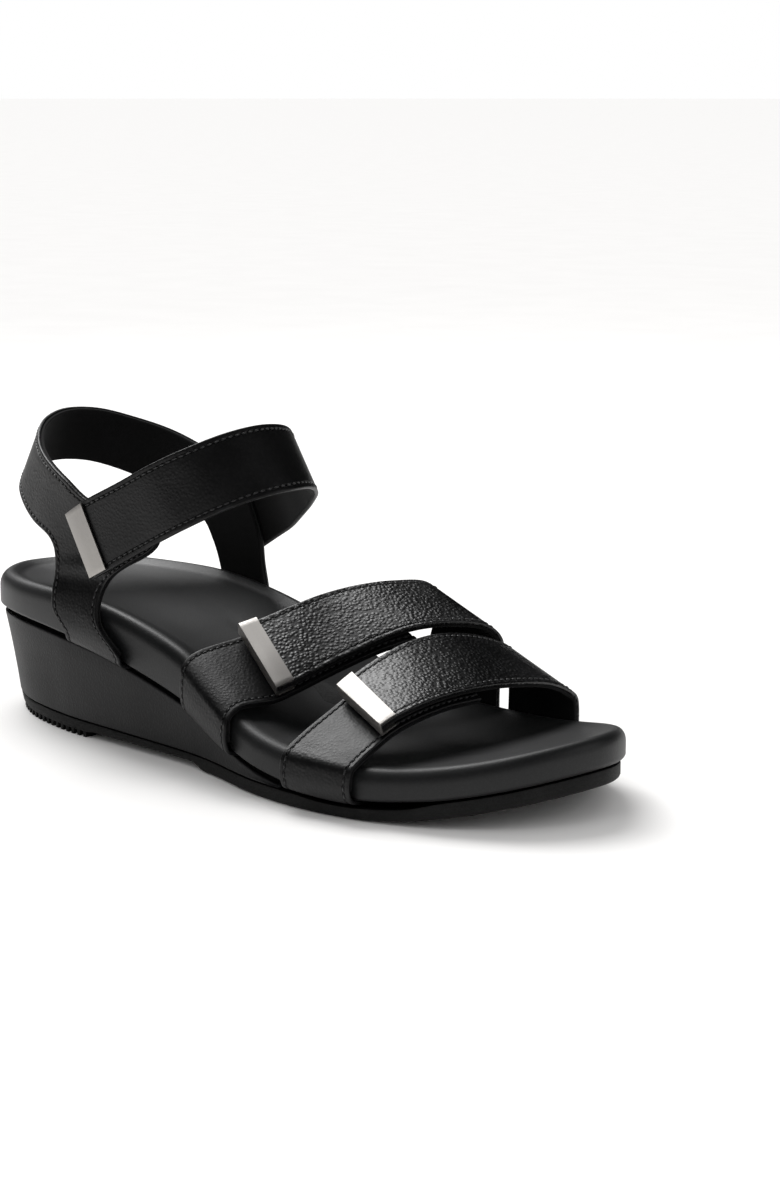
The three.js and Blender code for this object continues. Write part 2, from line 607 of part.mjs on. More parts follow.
addPart('back_quarter_lining', sheet(
  quarterSurface, [marginRibs, quarterEnd - marginRibs], [0, 1], liningLayer,
  2 * (quarterEnd - 2 * marginRibs), 3,
), looks.liner);

// ---- Origin at the bottom centre of the whole object -----------------------
const box = new THREE.Box3().setFromObject(parts);
parts.position.set(-(box.min.x + box.max.x) / 2, -(box.min.y + box.max.y) / 2, -box.min.z);
const sandal = new THREE.Group();
sandal.add(parts);

export default sandal;
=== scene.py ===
import json
import math
import bmesh
import bpy
import numpy as np
from mathutils import Matrix, Vector

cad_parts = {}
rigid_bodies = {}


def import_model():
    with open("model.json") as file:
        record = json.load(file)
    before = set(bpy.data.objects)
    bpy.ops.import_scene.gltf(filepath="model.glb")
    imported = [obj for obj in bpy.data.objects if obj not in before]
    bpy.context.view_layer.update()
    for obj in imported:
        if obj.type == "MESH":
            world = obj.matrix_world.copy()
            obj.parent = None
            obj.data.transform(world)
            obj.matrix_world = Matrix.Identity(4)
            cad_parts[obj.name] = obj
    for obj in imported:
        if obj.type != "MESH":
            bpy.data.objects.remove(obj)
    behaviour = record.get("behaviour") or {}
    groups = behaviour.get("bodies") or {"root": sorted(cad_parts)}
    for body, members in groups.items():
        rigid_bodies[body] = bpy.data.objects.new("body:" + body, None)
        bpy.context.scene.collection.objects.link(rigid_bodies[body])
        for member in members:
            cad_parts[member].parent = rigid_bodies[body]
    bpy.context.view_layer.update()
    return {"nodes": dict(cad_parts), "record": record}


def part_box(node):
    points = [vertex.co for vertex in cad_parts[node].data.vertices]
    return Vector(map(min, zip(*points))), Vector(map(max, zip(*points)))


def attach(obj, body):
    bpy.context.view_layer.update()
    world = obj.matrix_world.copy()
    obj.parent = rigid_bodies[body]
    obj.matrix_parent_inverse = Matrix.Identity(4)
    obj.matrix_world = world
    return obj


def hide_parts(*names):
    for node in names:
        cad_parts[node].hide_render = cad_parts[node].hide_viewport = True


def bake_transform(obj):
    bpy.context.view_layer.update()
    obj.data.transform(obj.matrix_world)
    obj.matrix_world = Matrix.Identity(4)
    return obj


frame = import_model()
scene = bpy.context.scene
print("frame loaded:", len(frame["nodes"]), "nodes")

# Camera: azimuth is how far it stands round from the outer side towards the toe
view = {"azimuth": 42.73, "elevation": 11.24, "place": (0.5552, -0.5488, 0.2037), "lens": 76.99}
azimuth, elevation = math.radians(view["azimuth"]), math.radians(view["elevation"])
backward = Vector((
    math.sin(azimuth) * math.cos(elevation),
    -math.cos(azimuth) * math.cos(elevation),
    math.sin(elevation),
))
camera = bpy.data.objects.new("camera", bpy.data.cameras.new("camera"))
camera.data.lens = view["lens"]
camera.data.sensor_width = 36
camera.location = view["place"]
camera.rotation_euler = backward.to_track_quat("Z", "Y").to_euler()
camera.data.clip_start = 0.01
scene.collection.objects.link(camera)
scene.camera = camera
print("camera placed")


def toLinear(hexColour):
    channels = [int(hexColour[i:i + 2], 16) / 255 for i in (1, 3, 5)]
    return [c / 12.92 if c <= 0.04045 else ((c + 0.055) / 1.055) ** 2.4 for c in channels] + [1.0]


# Adds a node. A setting goes to the input of that name or number, or else to the node itself.
def addNode(tree, kind, settings=None, links=None):
    node = tree.nodes.new(kind)
    named = {k: v for k, v in (settings or {}).items() if not (isinstance(k, int) or k in node.inputs)}
    for key, value in named.items():
        setattr(node, key, value)
    for key, value in (settings or {}).items():
        if key not in named:
            node.inputs[key].default_value = value
    for key, source in (links or {}).items():
        tree.links.new(source, node.inputs[key])
    return node


def perMetre(millimetres):  # a pattern's scale from the real size of one repeat
    return 1000 / millimetres


def newMaterial(name, shader):
    material = bpy.data.materials.new(name)
    material.use_nodes = True
    tree = material.node_tree
    tree.nodes.clear()
    surface = addNode(tree, "ShaderNodeBsdfPrincipled", shader)
    addNode(tree, "ShaderNodeOutputMaterial", links={"Surface": surface.outputs[0]})
    coordinates = addNode(tree, "ShaderNodeTexCoord").outputs["Object"]
    return material, tree, surface, coordinates


def mixed(tree, factor, low, high):  # colour between two hex values
    node = addNode(tree, "ShaderNodeMix", {"data_type": "RGBA"}, {0: factor})
    node.inputs[6].default_value = toLinear(low)
    node.inputs[7].default_value = toLinear(high)
    return node.outputs[2]


def ranged(tree, value, fromLow, fromHigh, toLow, toHigh, easing="SMOOTHSTEP"):
    settings = {"interpolation_type": easing, 1: fromLow, 2: fromHigh, 3: toLow, 4: toHigh}
    return addNode(tree, "ShaderNodeMapRange", settings, {0: value}).outputs[0]


def combined(tree, operation, a, b):
    node = addNode(tree, "ShaderNodeMath", {"operation": operation})
    for index, value in enumerate((a, b)):
        if isinstance(value, (int, float)):
            node.inputs[index].default_value = value
        else:
            tree.links.new(value, node.inputs[index])
    return node.outputs[0]


# Leather of any finish: domed pebbles with painted shade darkening the creases between them, pores on the
# pebbles, broad tone changes from the dye, and sharp edges painted paler, as rubbed wear and a painted edge
# highlight.
def leatherMaterial(name, look):
    material, tree, surface, coordinates = newMaterial(name, look["shader"])
    warp = addNode(tree, "ShaderNodeTexNoise", {"Scale": perMetre(look["cell"] * 5), "Detail": 2.0},
                   {"Vector": coordinates}).outputs["Color"]
    shifted = addNode(tree, "ShaderNodeMix", {"data_type": "VECTOR", 0: look["cell"] / 5000})
    tree.links.new(coordinates, shifted.inputs[4])
    tree.links.new(warp, shifted.inputs[5])
    cells = addNode(tree, "ShaderNodeTexVoronoi",
                    {"feature": "F1", "Scale": perMetre(look["cell"]), "Randomness": 0.95},
                    {"Vector": shifted.outputs[1]}).outputs["Distance"]
    pores = addNode(tree, "ShaderNodeTexNoise",
                    {"Scale": perMetre(look["pore"]), "Detail": 4.0, "Roughness": 0.6},
                    {"Vector": coordinates}).outputs["Fac"]
    broad = addNode(tree, "ShaderNodeTexNoise", {"Scale": perMetre(look["tone"]), "Detail": 3.0},
                    {"Vector": coordinates}).outputs["Fac"]
    crest = ranged(tree, cells, 0.05, look["crease"], 1.0, 0.0)
    height = combined(tree, "ADD", combined(tree, "MULTIPLY", crest, 1 - look["poreShare"]),
                      combined(tree, "MULTIPLY", pores, look["poreShare"]))
    # Painted shade: the crest term darkens the colour in the creases between pebbles, beside the dye's broad
    # tone.
    tone = combined(tree, "ADD", combined(tree, "MULTIPLY", broad, 0.7),
                    combined(tree, "MULTIPLY", crest, 0.3))
    colour = mixed(tree, ranged(tree, tone, 0.25, 0.85, 0.0, 1.0), *look["colours"])
    # Rubbed wear and painted highlight: sharp convex edges, found by pointiness, are mixed towards a paler
    # colour.
    edge = addNode(tree, "ShaderNodeNewGeometry").outputs["Pointiness"]
    rubHighlightMask = ranged(tree, edge, 0.52, 0.6, 0.0, look["rubHighlightShare"])
    rubbedHighlight = addNode(tree, "ShaderNodeMix", {"data_type": "RGBA"}, {0: rubHighlightMask, 6: colour})
    rubbedHighlight.inputs[7].default_value = toLinear(look["rubbedHighlight"])
    tree.links.new(rubbedHighlight.outputs[2], surface.inputs["Base Color"])
    gloss = combined(tree, "ADD", combined(tree, "MULTIPLY", broad, 0.5),
                     combined(tree, "MULTIPLY", pores, 0.5))
    tree.links.new(ranged(tree, gloss, 0.3, 0.7, *look["roughness"]), surface.inputs["Roughness"])
    bump = addNode(tree, "ShaderNodeBump", {"Strength": 1.0, "Distance": look["depth"] / 1000},
                   {"Height": height})
    tree.links.new(bump.outputs[0], surface.inputs["Normal"])
    return material


# Milled full-grain cow leather, dyed black and pigment finished: small round pebbles that
# catch the light one by one. Sizes in millimetres.
pebbledCowLeather = leatherMaterial("pebbled_cow_leather", {
    "shader": {"IOR": 1.5, "Specular IOR Level": 0.5, "Coat Weight": 0.15, "Coat Roughness": 0.22},
    "cell": 1.2, "crease": 0.75, "depth": 0.15, "pore": 0.35, "poreShare": 0.15, "tone": 14,
    "colours": ("#050506", "#0f0f10"), "rubbedHighlight": "#1d1e20", "rubHighlightShare": 0.5, "roughness": (0.3, 0.42),
})
# The same hide, pressed flatter where it is stretched round the foot: finer grain, less shine.
stretchedCowLeather = leatherMaterial("stretched_cow_leather", {
    "shader": {"IOR": 1.5, "Specular IOR Level": 0.3, "Coat Weight": 0.04, "Coat Roughness": 0.3},
    "cell": 1.0, "crease": 0.75, "depth": 0.055, "pore": 0.3, "poreShare": 0.2, "tone": 18,
    "colours": ("#060607", "#0e0e0f"), "rubbedHighlight": "#1b1c1e", "rubHighlightShare": 0.5, "roughness": (0.38, 0.5),
})
# Fine-grain calf lining leather, drum-dyed: nearly smooth, with a dull sheen.
smoothCalfLeather = leatherMaterial("smooth_calf_leather", {
    "shader": {"IOR": 1.5, "Specular IOR Level": 0.38, "Sheen Weight": 0.02, "Sheen Roughness": 0.4},
    "cell": 0.7, "crease": 0.7, "depth": 0.025, "pore": 0.3, "poreShare": 0.4, "tone": 35,
    "colours": ("#0f1011", "#161718"), "rubbedHighlight": "#25272a", "rubHighlightShare": 0.35, "roughness": (0.42, 0.54),
})
# Polyurethane-coated split leather stretched over the wedge: a flat, even print with faint creases.
coatedSplitLeather = leatherMaterial("coated_split_leather", {
    "shader": {"IOR": 1.5, "Specular IOR Level": 0.24},
    "cell": 0.9, "crease": 0.75, "depth": 0.045, "pore": 0.35, "poreShare": 0.3, "tone": 40,
    "colours": ("#08080a", "#101011"), "rubbedHighlight": "#202124", "rubHighlightShare": 0.4, "roughness": (0.44, 0.58),
})
# Polyester microfibre, napped: soft, without gloss.
napMicrofibre = leatherMaterial("napped_microfibre", {
    "shader": {"IOR": 1.45, "Specular IOR Level": 0.15, "Sheen Weight": 0.05, "Sheen Roughness": 0.5},
    "cell": 0.6, "crease": 0.7, "depth": 0.05, "pore": 0.16, "poreShare": 0.8, "tone": 12,
    "colours": ("#090909", "#111112"), "rubbedHighlight": "#1a1a1b", "rubHighlightShare": 0.3, "roughness": (0.82, 0.95),
})


# Carbon-black rubber, compression moulded: dull, with a fine spark-eroded texture and dusty scuffs.
def mouldedRubber():
    look = {"texture": 0.4, "scuff": 9, "colours": ("#090909", "#131313"), "depth": 0.04}
    material, tree, surface, coordinates = newMaterial("moulded_rubber", {
        "IOR": 1.52, "Specular IOR Level": 0.25})
    grit = addNode(tree, "ShaderNodeTexNoise", {"Scale": perMetre(look["texture"]), "Detail": 5.0},
                   {"Vector": coordinates}).outputs["Fac"]
    scuff = addNode(tree, "ShaderNodeTexNoise",
                    {"Scale": perMetre(look["scuff"]), "Detail": 6.0, "Roughness": 0.7},
                    {"Vector": coordinates}).outputs["Fac"]
    tree.links.new(mixed(tree, ranged(tree, scuff, 0.4, 0.75, 0.0, 1.0), *look["colours"]),
                   surface.inputs["Base Color"])
    tree.links.new(ranged(tree, grit, 0.3, 0.7, 0.6, 0.8), surface.inputs["Roughness"])
    bump = addNode(tree, "ShaderNodeBump", {"Strength": 1.0, "Distance": look["depth"] / 1000},
                   {"Height": grit})
    tree.links.new(bump.outputs[0], surface.inputs["Normal"])
    return material


# Zinc casting, nickel plated and satin brushed across the strap: bright, with fine streaks.
def satinNickel():
    look = {"streak": 0.3, "stretch": 14, "cloud": 25, "colours": ("#9c9996", "#a8a5a1"), "depth": 0.0008}
    material, tree, surface, coordinates = newMaterial("satin_nickel_plate", {"Metallic": 1.0})
    stretched = addNode(tree, "ShaderNodeMapping", {"Scale": (1.0, 1.0 / look["stretch"], 1.0)},
                        {"Vector": coordinates}).outputs[0]
    streaks = addNode(tree, "ShaderNodeTexNoise", {"Scale": perMetre(look["streak"]), "Detail": 3.0},
                      {"Vector": stretched}).outputs["Fac"]
    cloud = addNode(tree, "ShaderNodeTexNoise", {"Scale": perMetre(look["cloud"]), "Detail": 1.0},
                    {"Vector": coordinates}).outputs["Fac"]
    tree.links.new(mixed(tree, ranged(tree, cloud, 0.3, 0.7, 0.0, 1.0), *look["colours"]),
                   surface.inputs["Base Color"])
    tree.links.new(ranged(tree, streaks, 0.3, 0.7, 0.4, 0.5), surface.inputs["Roughness"])
    bump = addNode(tree, "ShaderNodeBump", {"Strength": 0.6, "Distance": look["depth"] / 1000},
                   {"Height": streaks})
    tree.links.new(bump.outputs[0], surface.inputs["Normal"])
    return material


# Bonded polyester sewing thread, twisted and waxed: a narrow line of painted sheen, lighter colour along the
# twist's bands, on each stitch.
def sewingThread():
    look = {"ply": 0.5, "colours": ("#070708", "#18191b"), "depth": 0.05}
    material, tree, surface, coordinates = newMaterial("bonded_polyester_thread", {
        "IOR": 1.5, "Sheen Weight": 0.1, "Specular IOR Level": 0.6})
    twistAndSheen = addNode(tree, "ShaderNodeTexWave",
                    {"Scale": perMetre(look["ply"]) / 6.28, "Distortion": 2.0, "bands_direction": "DIAGONAL"},
                    {"Vector": coordinates}).outputs["Fac"]
    # Painted sheen: the twist bands mix the thread's colour towards a lighter one.
    tree.links.new(mixed(tree, twistAndSheen, *look["colours"]), surface.inputs["Base Color"])
    tree.links.new(ranged(tree, twistAndSheen, 0.0, 1.0, 0.6, 0.4), surface.inputs["Roughness"])
    bump = addNode(tree, "ShaderNodeBump", {"Strength": 0.5, "Distance": look["depth"] / 1000},
                   {"Height": twistAndSheen})
    tree.links.new(bump.outputs[0], surface.inputs["Normal"])
    return material


# Woven nylon tape, napped to loops or set with hooks: a dull, deep black with a woven ground.
def nylonTape(name, fluff):
    look = {"weave": 0.45, "colours": ("#070708", "#131314"), "depth": 0.12}
    material, tree, surface, coordinates = newMaterial(name, {
        "IOR": 1.53, "Specular IOR Level": 0.2, "Sheen Weight": 0.05 + 0.05 * fluff, "Sheen Roughness": 0.6})
    yarns = addNode(tree, "ShaderNodeTexVoronoi",
                    {"Scale": perMetre(look["weave"]), "Randomness": 1.0 * fluff},
                    {"Vector": coordinates}).outputs["Distance"]
    fibres = addNode(tree, "ShaderNodeTexNoise", {"Scale": perMetre(0.15), "Detail": 5.0, "Distortion": 1.5},
                     {"Vector": coordinates}).outputs["Fac"]
    height = combined(tree, "ADD", yarns, fibres)
    tree.links.new(mixed(tree, ranged(tree, height, 0.5, 1.2, 0.0, 1.0), *look["colours"]),
                   surface.inputs["Base Color"])
    tree.links.new(ranged(tree, fibres, 0.3, 0.7, 0.8, 0.98), surface.inputs["Roughness"])
    bump = addNode(tree, "ShaderNodeBump", {"Strength": 1.0, "Distance": look["depth"] / 1000},
                   {"Height": height})
    tree.links.new(bump.outputs[0], surface.inputs["Normal"])
    return material


# What lies hidden inside the bottom unit: grain and cells, drawn out along the piece by stretch.
def innerMaterial(name, look):
    material, tree, surface, coordinates = newMaterial(name, look["shader"])
    stretched = addNode(tree, "ShaderNodeMapping", {"Scale": look["stretch"]},
                        {"Vector": coordinates}).outputs[0]
    grain = addNode(tree, "ShaderNodeTexNoise", {"Scale": perMetre(look["grain"]), "Detail": 4.0},
                    {"Vector": stretched}).outputs["Fac"]
    cells = addNode(tree, "ShaderNodeTexVoronoi", {"Scale": perMetre(look["cell"])},
                    {"Vector": stretched}).outputs["Distance"]
    height = combined(tree, "ADD", combined(tree, "MULTIPLY", grain, 0.5),
                      combined(tree, "MULTIPLY", cells, 0.5))
    tree.links.new(mixed(tree, ranged(tree, height, 0.2, 0.7, 0.0, 1.0), *look["colours"]),
                   surface.inputs["Base Color"])
    tree.links.new(ranged(tree, grain, 0.3, 0.7, *look["roughness"]), surface.inputs["Roughness"])
    bump = addNode(tree, "ShaderNodeBump", {"Strength": 1.0, "Distance": look["depth"] / 1000},
                   {"Height": height})
    tree.links.new(bump.outputs[0], surface.inputs["Normal"])
    return material


# EVA foam, cross-linked and skived: closed cells show on the cut faces.
evaFoam = innerMaterial("eva_foam", {
    "shader": {"IOR": 1.49}, "stretch": (1.0, 1.0, 1.0), "grain": 0.5, "cell": 0.7, "depth": 0.1,
    "colours": ("#151515", "#2a2a2a"), "roughness": (0.85, 0.98),
})
# Cellulose insole board, calendered: brown fibres pressed flat.
celluloseBoard = innerMaterial("cellulose_board", {
    "shader": {"IOR": 1.47}, "stretch": (0.2, 1.0, 1.0), "grain": 0.4, "cell": 1.2, "depth": 0.05,
    "colours": ("#6d5238", "#97795a"), "roughness": (0.8, 0.95),
})
# Spring steel strip, cold rolled: grey, with fine rolling lines.
springSteel = innerMaterial("spring_steel", {
    "shader": {"Metallic": 1.0}, "stretch": (0.03, 1.0, 1.0), "grain": 0.2, "cell": 0.9, "depth": 0.01,
    "colours": ("#7d8083", "#a2a5a8"), "roughness": (0.3, 0.45),
})
rubber = mouldedRubber()
nickel = satinNickel()
thread = sewingThread()
hookTape = nylonTape("nylon_hook_tape", 0.2)
loopTape = nylonTape("nylon_loop_tape", 1.0)
print("materials made")


# Curves of the last, in millimetres: the sizes that the frame was designed to
last = {
    "length": 256, "ball": 90, "heel": 64, "heelJoint": 34, "ballJoint": 5, "toeSpring": 11.3,
    "bed": 11, "cup": 4, "leather": 1.2, "lining": 0.8, "tape": 0.7, "gap": 0.3, "strapGap": 0.9,
    "margin": 11, "marginGap": 0.6, "cadSegments": 60,
}
half = last["length"] / 2
seam = last["leather"] / 2 + last["marginGap"]
strapThickness = last["leather"] + last["gap"] + last["lining"]
sideClearance = last["strapGap"] + strapThickness
tapeStack = strapThickness + 3 * last["gap"] + 2 * last["tape"]


def smooth(t):
    t = np.clip(t, 0, 1)
    return t * t * (3 - 2 * t)


def along(table, s):  # a smooth curve through [share of the length, value] pairs
    xs, ys = np.array(table, float).T
    end = len(xs) - 1
    before = np.maximum(np.arange(end + 1) - 1, 0)
    after = np.minimum(np.arange(end + 1) + 1, end)
    slopes = (ys[after] - ys[before]) / (xs[after] - xs[before])
    t = np.clip(s, xs[0], xs[-1])
    i = np.clip(np.searchsorted(xs, t, side="right") - 1, 0, end - 1)
    step = xs[i + 1] - xs[i]
    f = (t - xs[i]) / step
    rise, m0, m1 = ys[i + 1] - ys[i], slopes[i] * step, slopes[i + 1] * step
    return ys[i] + f * (m0 + f * (3 * rise - 2 * m0 - m1 + f * (m0 + m1 - 2 * rise)))


def share(x):
    return (x + half) / last["length"]


def fromHeel(distance):
    return distance - half


def halfWidthAt(s):
    return last["heel"] / 2 + (last["ball"] - last["heel"]) / 2 * smooth((s - 0.35) / 0.3)


def jointZ(x):  # height of the groove between the footbed and what is under it
    s = share(x)
    ramp = [[0, 0.955], [0.148, 1], [0.305, 0.883], [0.461, 0.572], [0.598, 0.166], [0.734, 0], [1, 0]]
    spring = last["toeSpring"] * np.maximum(0, (s - 0.734) / 0.266) ** 2
    return last["ballJoint"] + (last["heelJoint"] - last["ballJoint"]) * along(ramp, s) + spring


def rimZ(x):
    shares = [[0, 1.14], [0.148, 1.15], [0.305, 1.4], [0.461, 1.42],
              [0.598, 1.04], [0.734, 1], [0.89, 0.95], [1, 0.98]]
    return jointZ(x) + last["bed"] * along(shares, share(x))


def cupAt(x):
    return last["cup"] * along([[0, 1], [0.3, 0.9], [0.6, 0.35], [1, 0.2]], share(x))


def groundZ(x):
    return np.maximum(0, jointZ(x) - last["ballJoint"]) * (share(x) > 0.734)


def soleTopZ(x):
    heelLine = 5.8 - 1.4 * smooth(share(x) / 0.6)
    return np.minimum(heelLine + groundZ(x), jointZ(x) - seam)


def soleInset(x):
    return along([[0, 7.4], [0.15, 4.2], [0.5, 2.2], [0.72, 0.6], [1, 1.6]], share(x))


def splineThrough(points, closed=False):  # centripetal, through every point
    pts = np.array(points, float)
    count = len(pts)
    spans = count if closed else count - 1
    pieces = []
    for i in range(spans):
        p1, p2 = pts[i], pts[(i + 1) % count]
        p0 = pts[i - 1] if closed or i > 0 else 2 * pts[0] - pts[1]
        p3 = pts[(i + 2) % count] if closed or i + 2 < count else 2 * pts[-1] - pts[-2]
        d0, d1, d2 = (np.linalg.norm(b - a) ** 0.5 for a, b in ((p0, p1), (p1, p2), (p2, p3)))
        m1 = ((p1 - p0) / d0 - (p2 - p0) / (d0 + d1) + (p2 - p1) / d1) * d1
        m2 = ((p2 - p1) / d1 - (p3 - p1) / (d1 + d2) + (p3 - p2) / d2) * d1
        pieces.append((p1, m1, 3 * (p2 - p1) - 2 * m1 - m2, 2 * (p1 - p2) + m1 + m2))
    table = np.array(pieces)

    def at(t):
        f = (np.mod(t, 1) if closed else np.clip(t, 0, 1)) * spans
        i = np.minimum(f.astype(int), spans - 1)
        w = (f - i)[:, None]
        c = table[i]
        return c[:, 0] + w * (c[:, 1] + w * (c[:, 2] + w * c[:, 3]))
    return at


def outlinePoint(s, across, side):
    return s * last["length"] - half, side * across * float(halfWidthAt(s)), 0


lateralOutline = [
    [0.045, 0.54], [0.117, 0.89], [0.228, 1.09], [0.364, 1.14], [0.501, 1.0],
    [0.636, 1.018], [0.7535, 1.009], [0.87, 0.809], [0.955, 0.449],
]
medialOutline = [
    [0.962, 0.5], [0.8926, 0.864], [0.775, 0.958], [0.6574, 0.876], [0.5203, 0.834],
    [0.3836, 0.989], [0.2473, 0.994], [0.1105, 0.9], [0.0324, 0.575],
]
outlineCurve = splineThrough(
    [outlinePoint(0.006, 0, 1)] + [outlinePoint(*p, -1) for p in lateralOutline]
    + [outlinePoint(0.992, 0.1, 1)] + [outlinePoint(*p, 1) for p in medialOutline], closed=True)
outlineSteps = np.linspace(0, 1, 801)
outlineRuns = np.concatenate([[0], np.cumsum(np.linalg.norm(
    np.diff(outlineCurve(outlineSteps), axis=0), axis=1))])


def outlineAt(u):  # points and tangents at shares of the outline's length
    t = np.interp(np.mod(u, 1) * outlineRuns[-1], outlineRuns, outlineSteps)
    ahead, behind = outlineCurve(t + 1e-4), outlineCurve(t - 1e-4)
    tangent = (ahead - behind) / np.linalg.norm(ahead - behind, axis=1)[:, None]
    return outlineCurve(t), tangent


fineOutline, _ = outlineAt(np.linspace(0, 0.9999, 800))
toeIndex = int(np.argmax(fineOutline[:, 0]))


def sideY(side, x):
    edge = fineOutline[:toeIndex] if side < 0 else fineOutline[:toeIndex:-1]
    return np.interp(x, edge[:, 0], edge[:, 1])


# The frame's origin is the middle of the whole object's box, so the last sits a little off it.
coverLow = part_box("footbed_cover")[0]
cadOutline, _ = outlineAt(np.arange(last["cadSegments"]) / last["cadSegments"])
offset = np.array([
    coverLow[0] * 1000 - cadOutline[:, 0].min(),
    coverLow[1] * 1000 - cadOutline[:, 1].min(),
    0,
])


def toFrame(points):  # last coordinates in mm to the frame's metres
    return (np.asarray(points) + offset) / 1000


# The surface through ribs, each a pair of edge points. outward picks the side away from the foot.
def ribSurface(ribs, outward, tucked=None):
    edgeCurves = [splineThrough([rib[e] for rib in ribs]) for e in (0, 1)]
    end = len(ribs) - 1

    def flat(k, v):
        a, b = (curve(k / end) for curve in edgeCurves)
        p = a + (b - a) * v[:, None]
        if tucked:
            straight = jointZ(a[:, 0]) * (1 - v) + jointZ(b[:, 0]) * v
            p[:, 2] += tucked(k, end) * (jointZ(p[:, 0]) - straight)
        return p

    def at(k, v, h=0.0):
        k, v, h = (np.array(a, float) for a in np.broadcast_arrays(np.atleast_1d(k), v, h))
        slopeK = flat(np.minimum(k + 0.02, end), v) - flat(np.maximum(k - 0.02, 0), v)
        slopeV = flat(k, np.ones_like(v)) - flat(k, np.zeros_like(v))
        normal = np.cross(slopeK, slopeV)
        normal *= outward / np.linalg.norm(normal, axis=1)[:, None]
        p = flat(k, v) + normal * h[:, None]
        ones = np.ones_like(k)
        p += (flat(ones, v) - flat(0 * ones, v)) * np.minimum(k, 0)[:, None]
        p += (flat(end * ones, v) - flat((end - 1) * ones, v)) * np.maximum(k - end, 0)[:, None]
        return p
    at.end = end
    return at


marginRibs = 3  # the rib where a strap has turned upright beside the footbed


def tuckedStart(k, end):
    return 1 - smooth(k - marginRibs)


def tuckedEnds(k, end):
    return 1 - smooth(np.minimum(k, end - k) - marginRibs)


def beside(side, x, out, z):
    return [x, float(sideY(side, x)) + side * out, float(z)]


def tuckedRibs(side, foot, neck=None):
    bend = last["leather"] + 3.5
    corner = bend * (1 - math.sqrt(0.5))

    def marginZ(x):
        return jointZ(x) - last["leather"] / 2

    def rib(out, z, xs):
        return [beside(side, x, out, z(x)) for x in xs]
    return [
        rib(-last["margin"], marginZ, foot),
        rib(sideClearance - bend - 1, marginZ, foot),
        rib(sideClearance - corner, lambda x: marginZ(x) + corner, foot),
        rib(sideClearance, lambda x: marginZ(x) + bend, foot),
        rib(sideClearance, lambda x: rimZ(x) - 4.5, neck or foot),
    ]


def over(lateralX, medialX, across, rise):
    x = lateralX + (medialX - lateralX) * (across + 1) / 2
    return [x, abs(across) * float(sideY(math.copysign(1, across or 1), x)), float(rimZ(x)) + rise]


seatZ = float(rimZ(fromHeel(38)))


def heelPoint(distance, across, above):
    return [fromHeel(distance), across * last["heel"] / 2, seatZ + above]


def addPiece(name, bm, material, slotName, body=None, across=None, stands=(), sharp=40):
    bmesh.ops.recalc_face_normals(bm, faces=bm.faces)
    mesh = bpy.data.meshes.new(name)
    bm.to_mesh(mesh)
    bm.free()
    mesh.shade_smooth()
    mesh.set_sharp_from_angle(angle=math.radians(sharp))
    mesh.materials.append(material)
    piece = bpy.data.objects.new(name, mesh)
    scene.collection.objects.link(piece)
    if stands:
        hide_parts(*stands)
    if across:
        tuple(across["start"])
        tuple(across["end"])
        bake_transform(piece)
    else:
        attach(piece, body)


# A grid whose corners run 0 to 1 both ways, laid where place says. Edges that meet are joined
# and open ends are capped.
def bentGrid(columns, rows, place):
    bm = bmesh.new()
    bmesh.ops.create_grid(bm, x_segments=columns, y_segments=rows, size=0.5)
    corners = np.array([v.co[:2] for v in bm.verts])
    low, high = corners.min(axis=0), corners.max(axis=0)
    s, t = ((corners - low) / (high - low)).T
    for vert, co in zip(bm.verts, toFrame(place(s, t))):
        vert.co = co
    bmesh.ops.remove_doubles(bm, verts=bm.verts, dist=2e-6)
    bmesh.ops.dissolve_degenerate(bm, edges=bm.edges, dist=1e-6)
    bmesh.ops.holes_fill(bm, edges=[e for e in bm.edges if e.is_boundary])
    return bm


def merged(target, source):  # moves one bmesh's faces into another
    mesh = bpy.data.meshes.new("scratch")
    source.to_mesh(mesh)
    source.free()
    target.from_mesh(mesh)
    bpy.data.meshes.remove(mesh)


# A body of the given section, [share across, mm inwards, mm above the surface], run along a surface.
def runSection(surface, reach, columns, section):
    rows = len(section)
    table = np.array(section + section[:1])

    def place(s, t):
        k = reach[0] + (reach[1] - reach[0]) * s
        row = table[np.round(t * rows).astype(int)]
        width = np.linalg.norm(surface(k, 1.0) - surface(k, 0.0), axis=1)
        inwards = np.clip(row[:, 1] / width, -0.45, 0.45)
        return surface(k, row[:, 0] + inwards, row[:, 2])
    return bentGrid(columns, rows, place)


# Rounded rectangle: a folded edge on each side, with a sunk line where the stitches lie.
def strapSection(top, bottom, inset=0.0, fold=0.55, channel=None, across=8):
    points = []
    for i in range(5):  # round the outer upper corner
        angle = math.pi / 2 * i / 4
        points.append([0, inset + fold * (1 - math.sin(angle)), top - fold * (1 - math.cos(angle))])
    points.reverse()
    if channel:
        distance, depth, spread = channel
        points += [[0, inset + 0.9, top], [0, distance - spread, top - 0.04],
                   [0, distance - spread / 2, top - depth],
                   [0, distance + spread / 2, top - depth], [0, distance + spread, top - 0.04],
                   [0, distance + 1.6, top]]
    middle = [[i / across, 0, top] for i in range(1, across)]
    middle = [p for p in middle if 0.2 < p[0] < 0.8]
    mirrored = [[1 - a, -b, h] for a, b, h in reversed(points)]
    low = 0.35
    under = [[1, -inset, bottom + low], [1, -inset - low, bottom]]
    under += [[i / across, 0, bottom] for i in range(across - 2, 1, -2)]
    under += [[0, inset + low, bottom], [0, inset, bottom + low]]
    return points + middle + mirrored + under


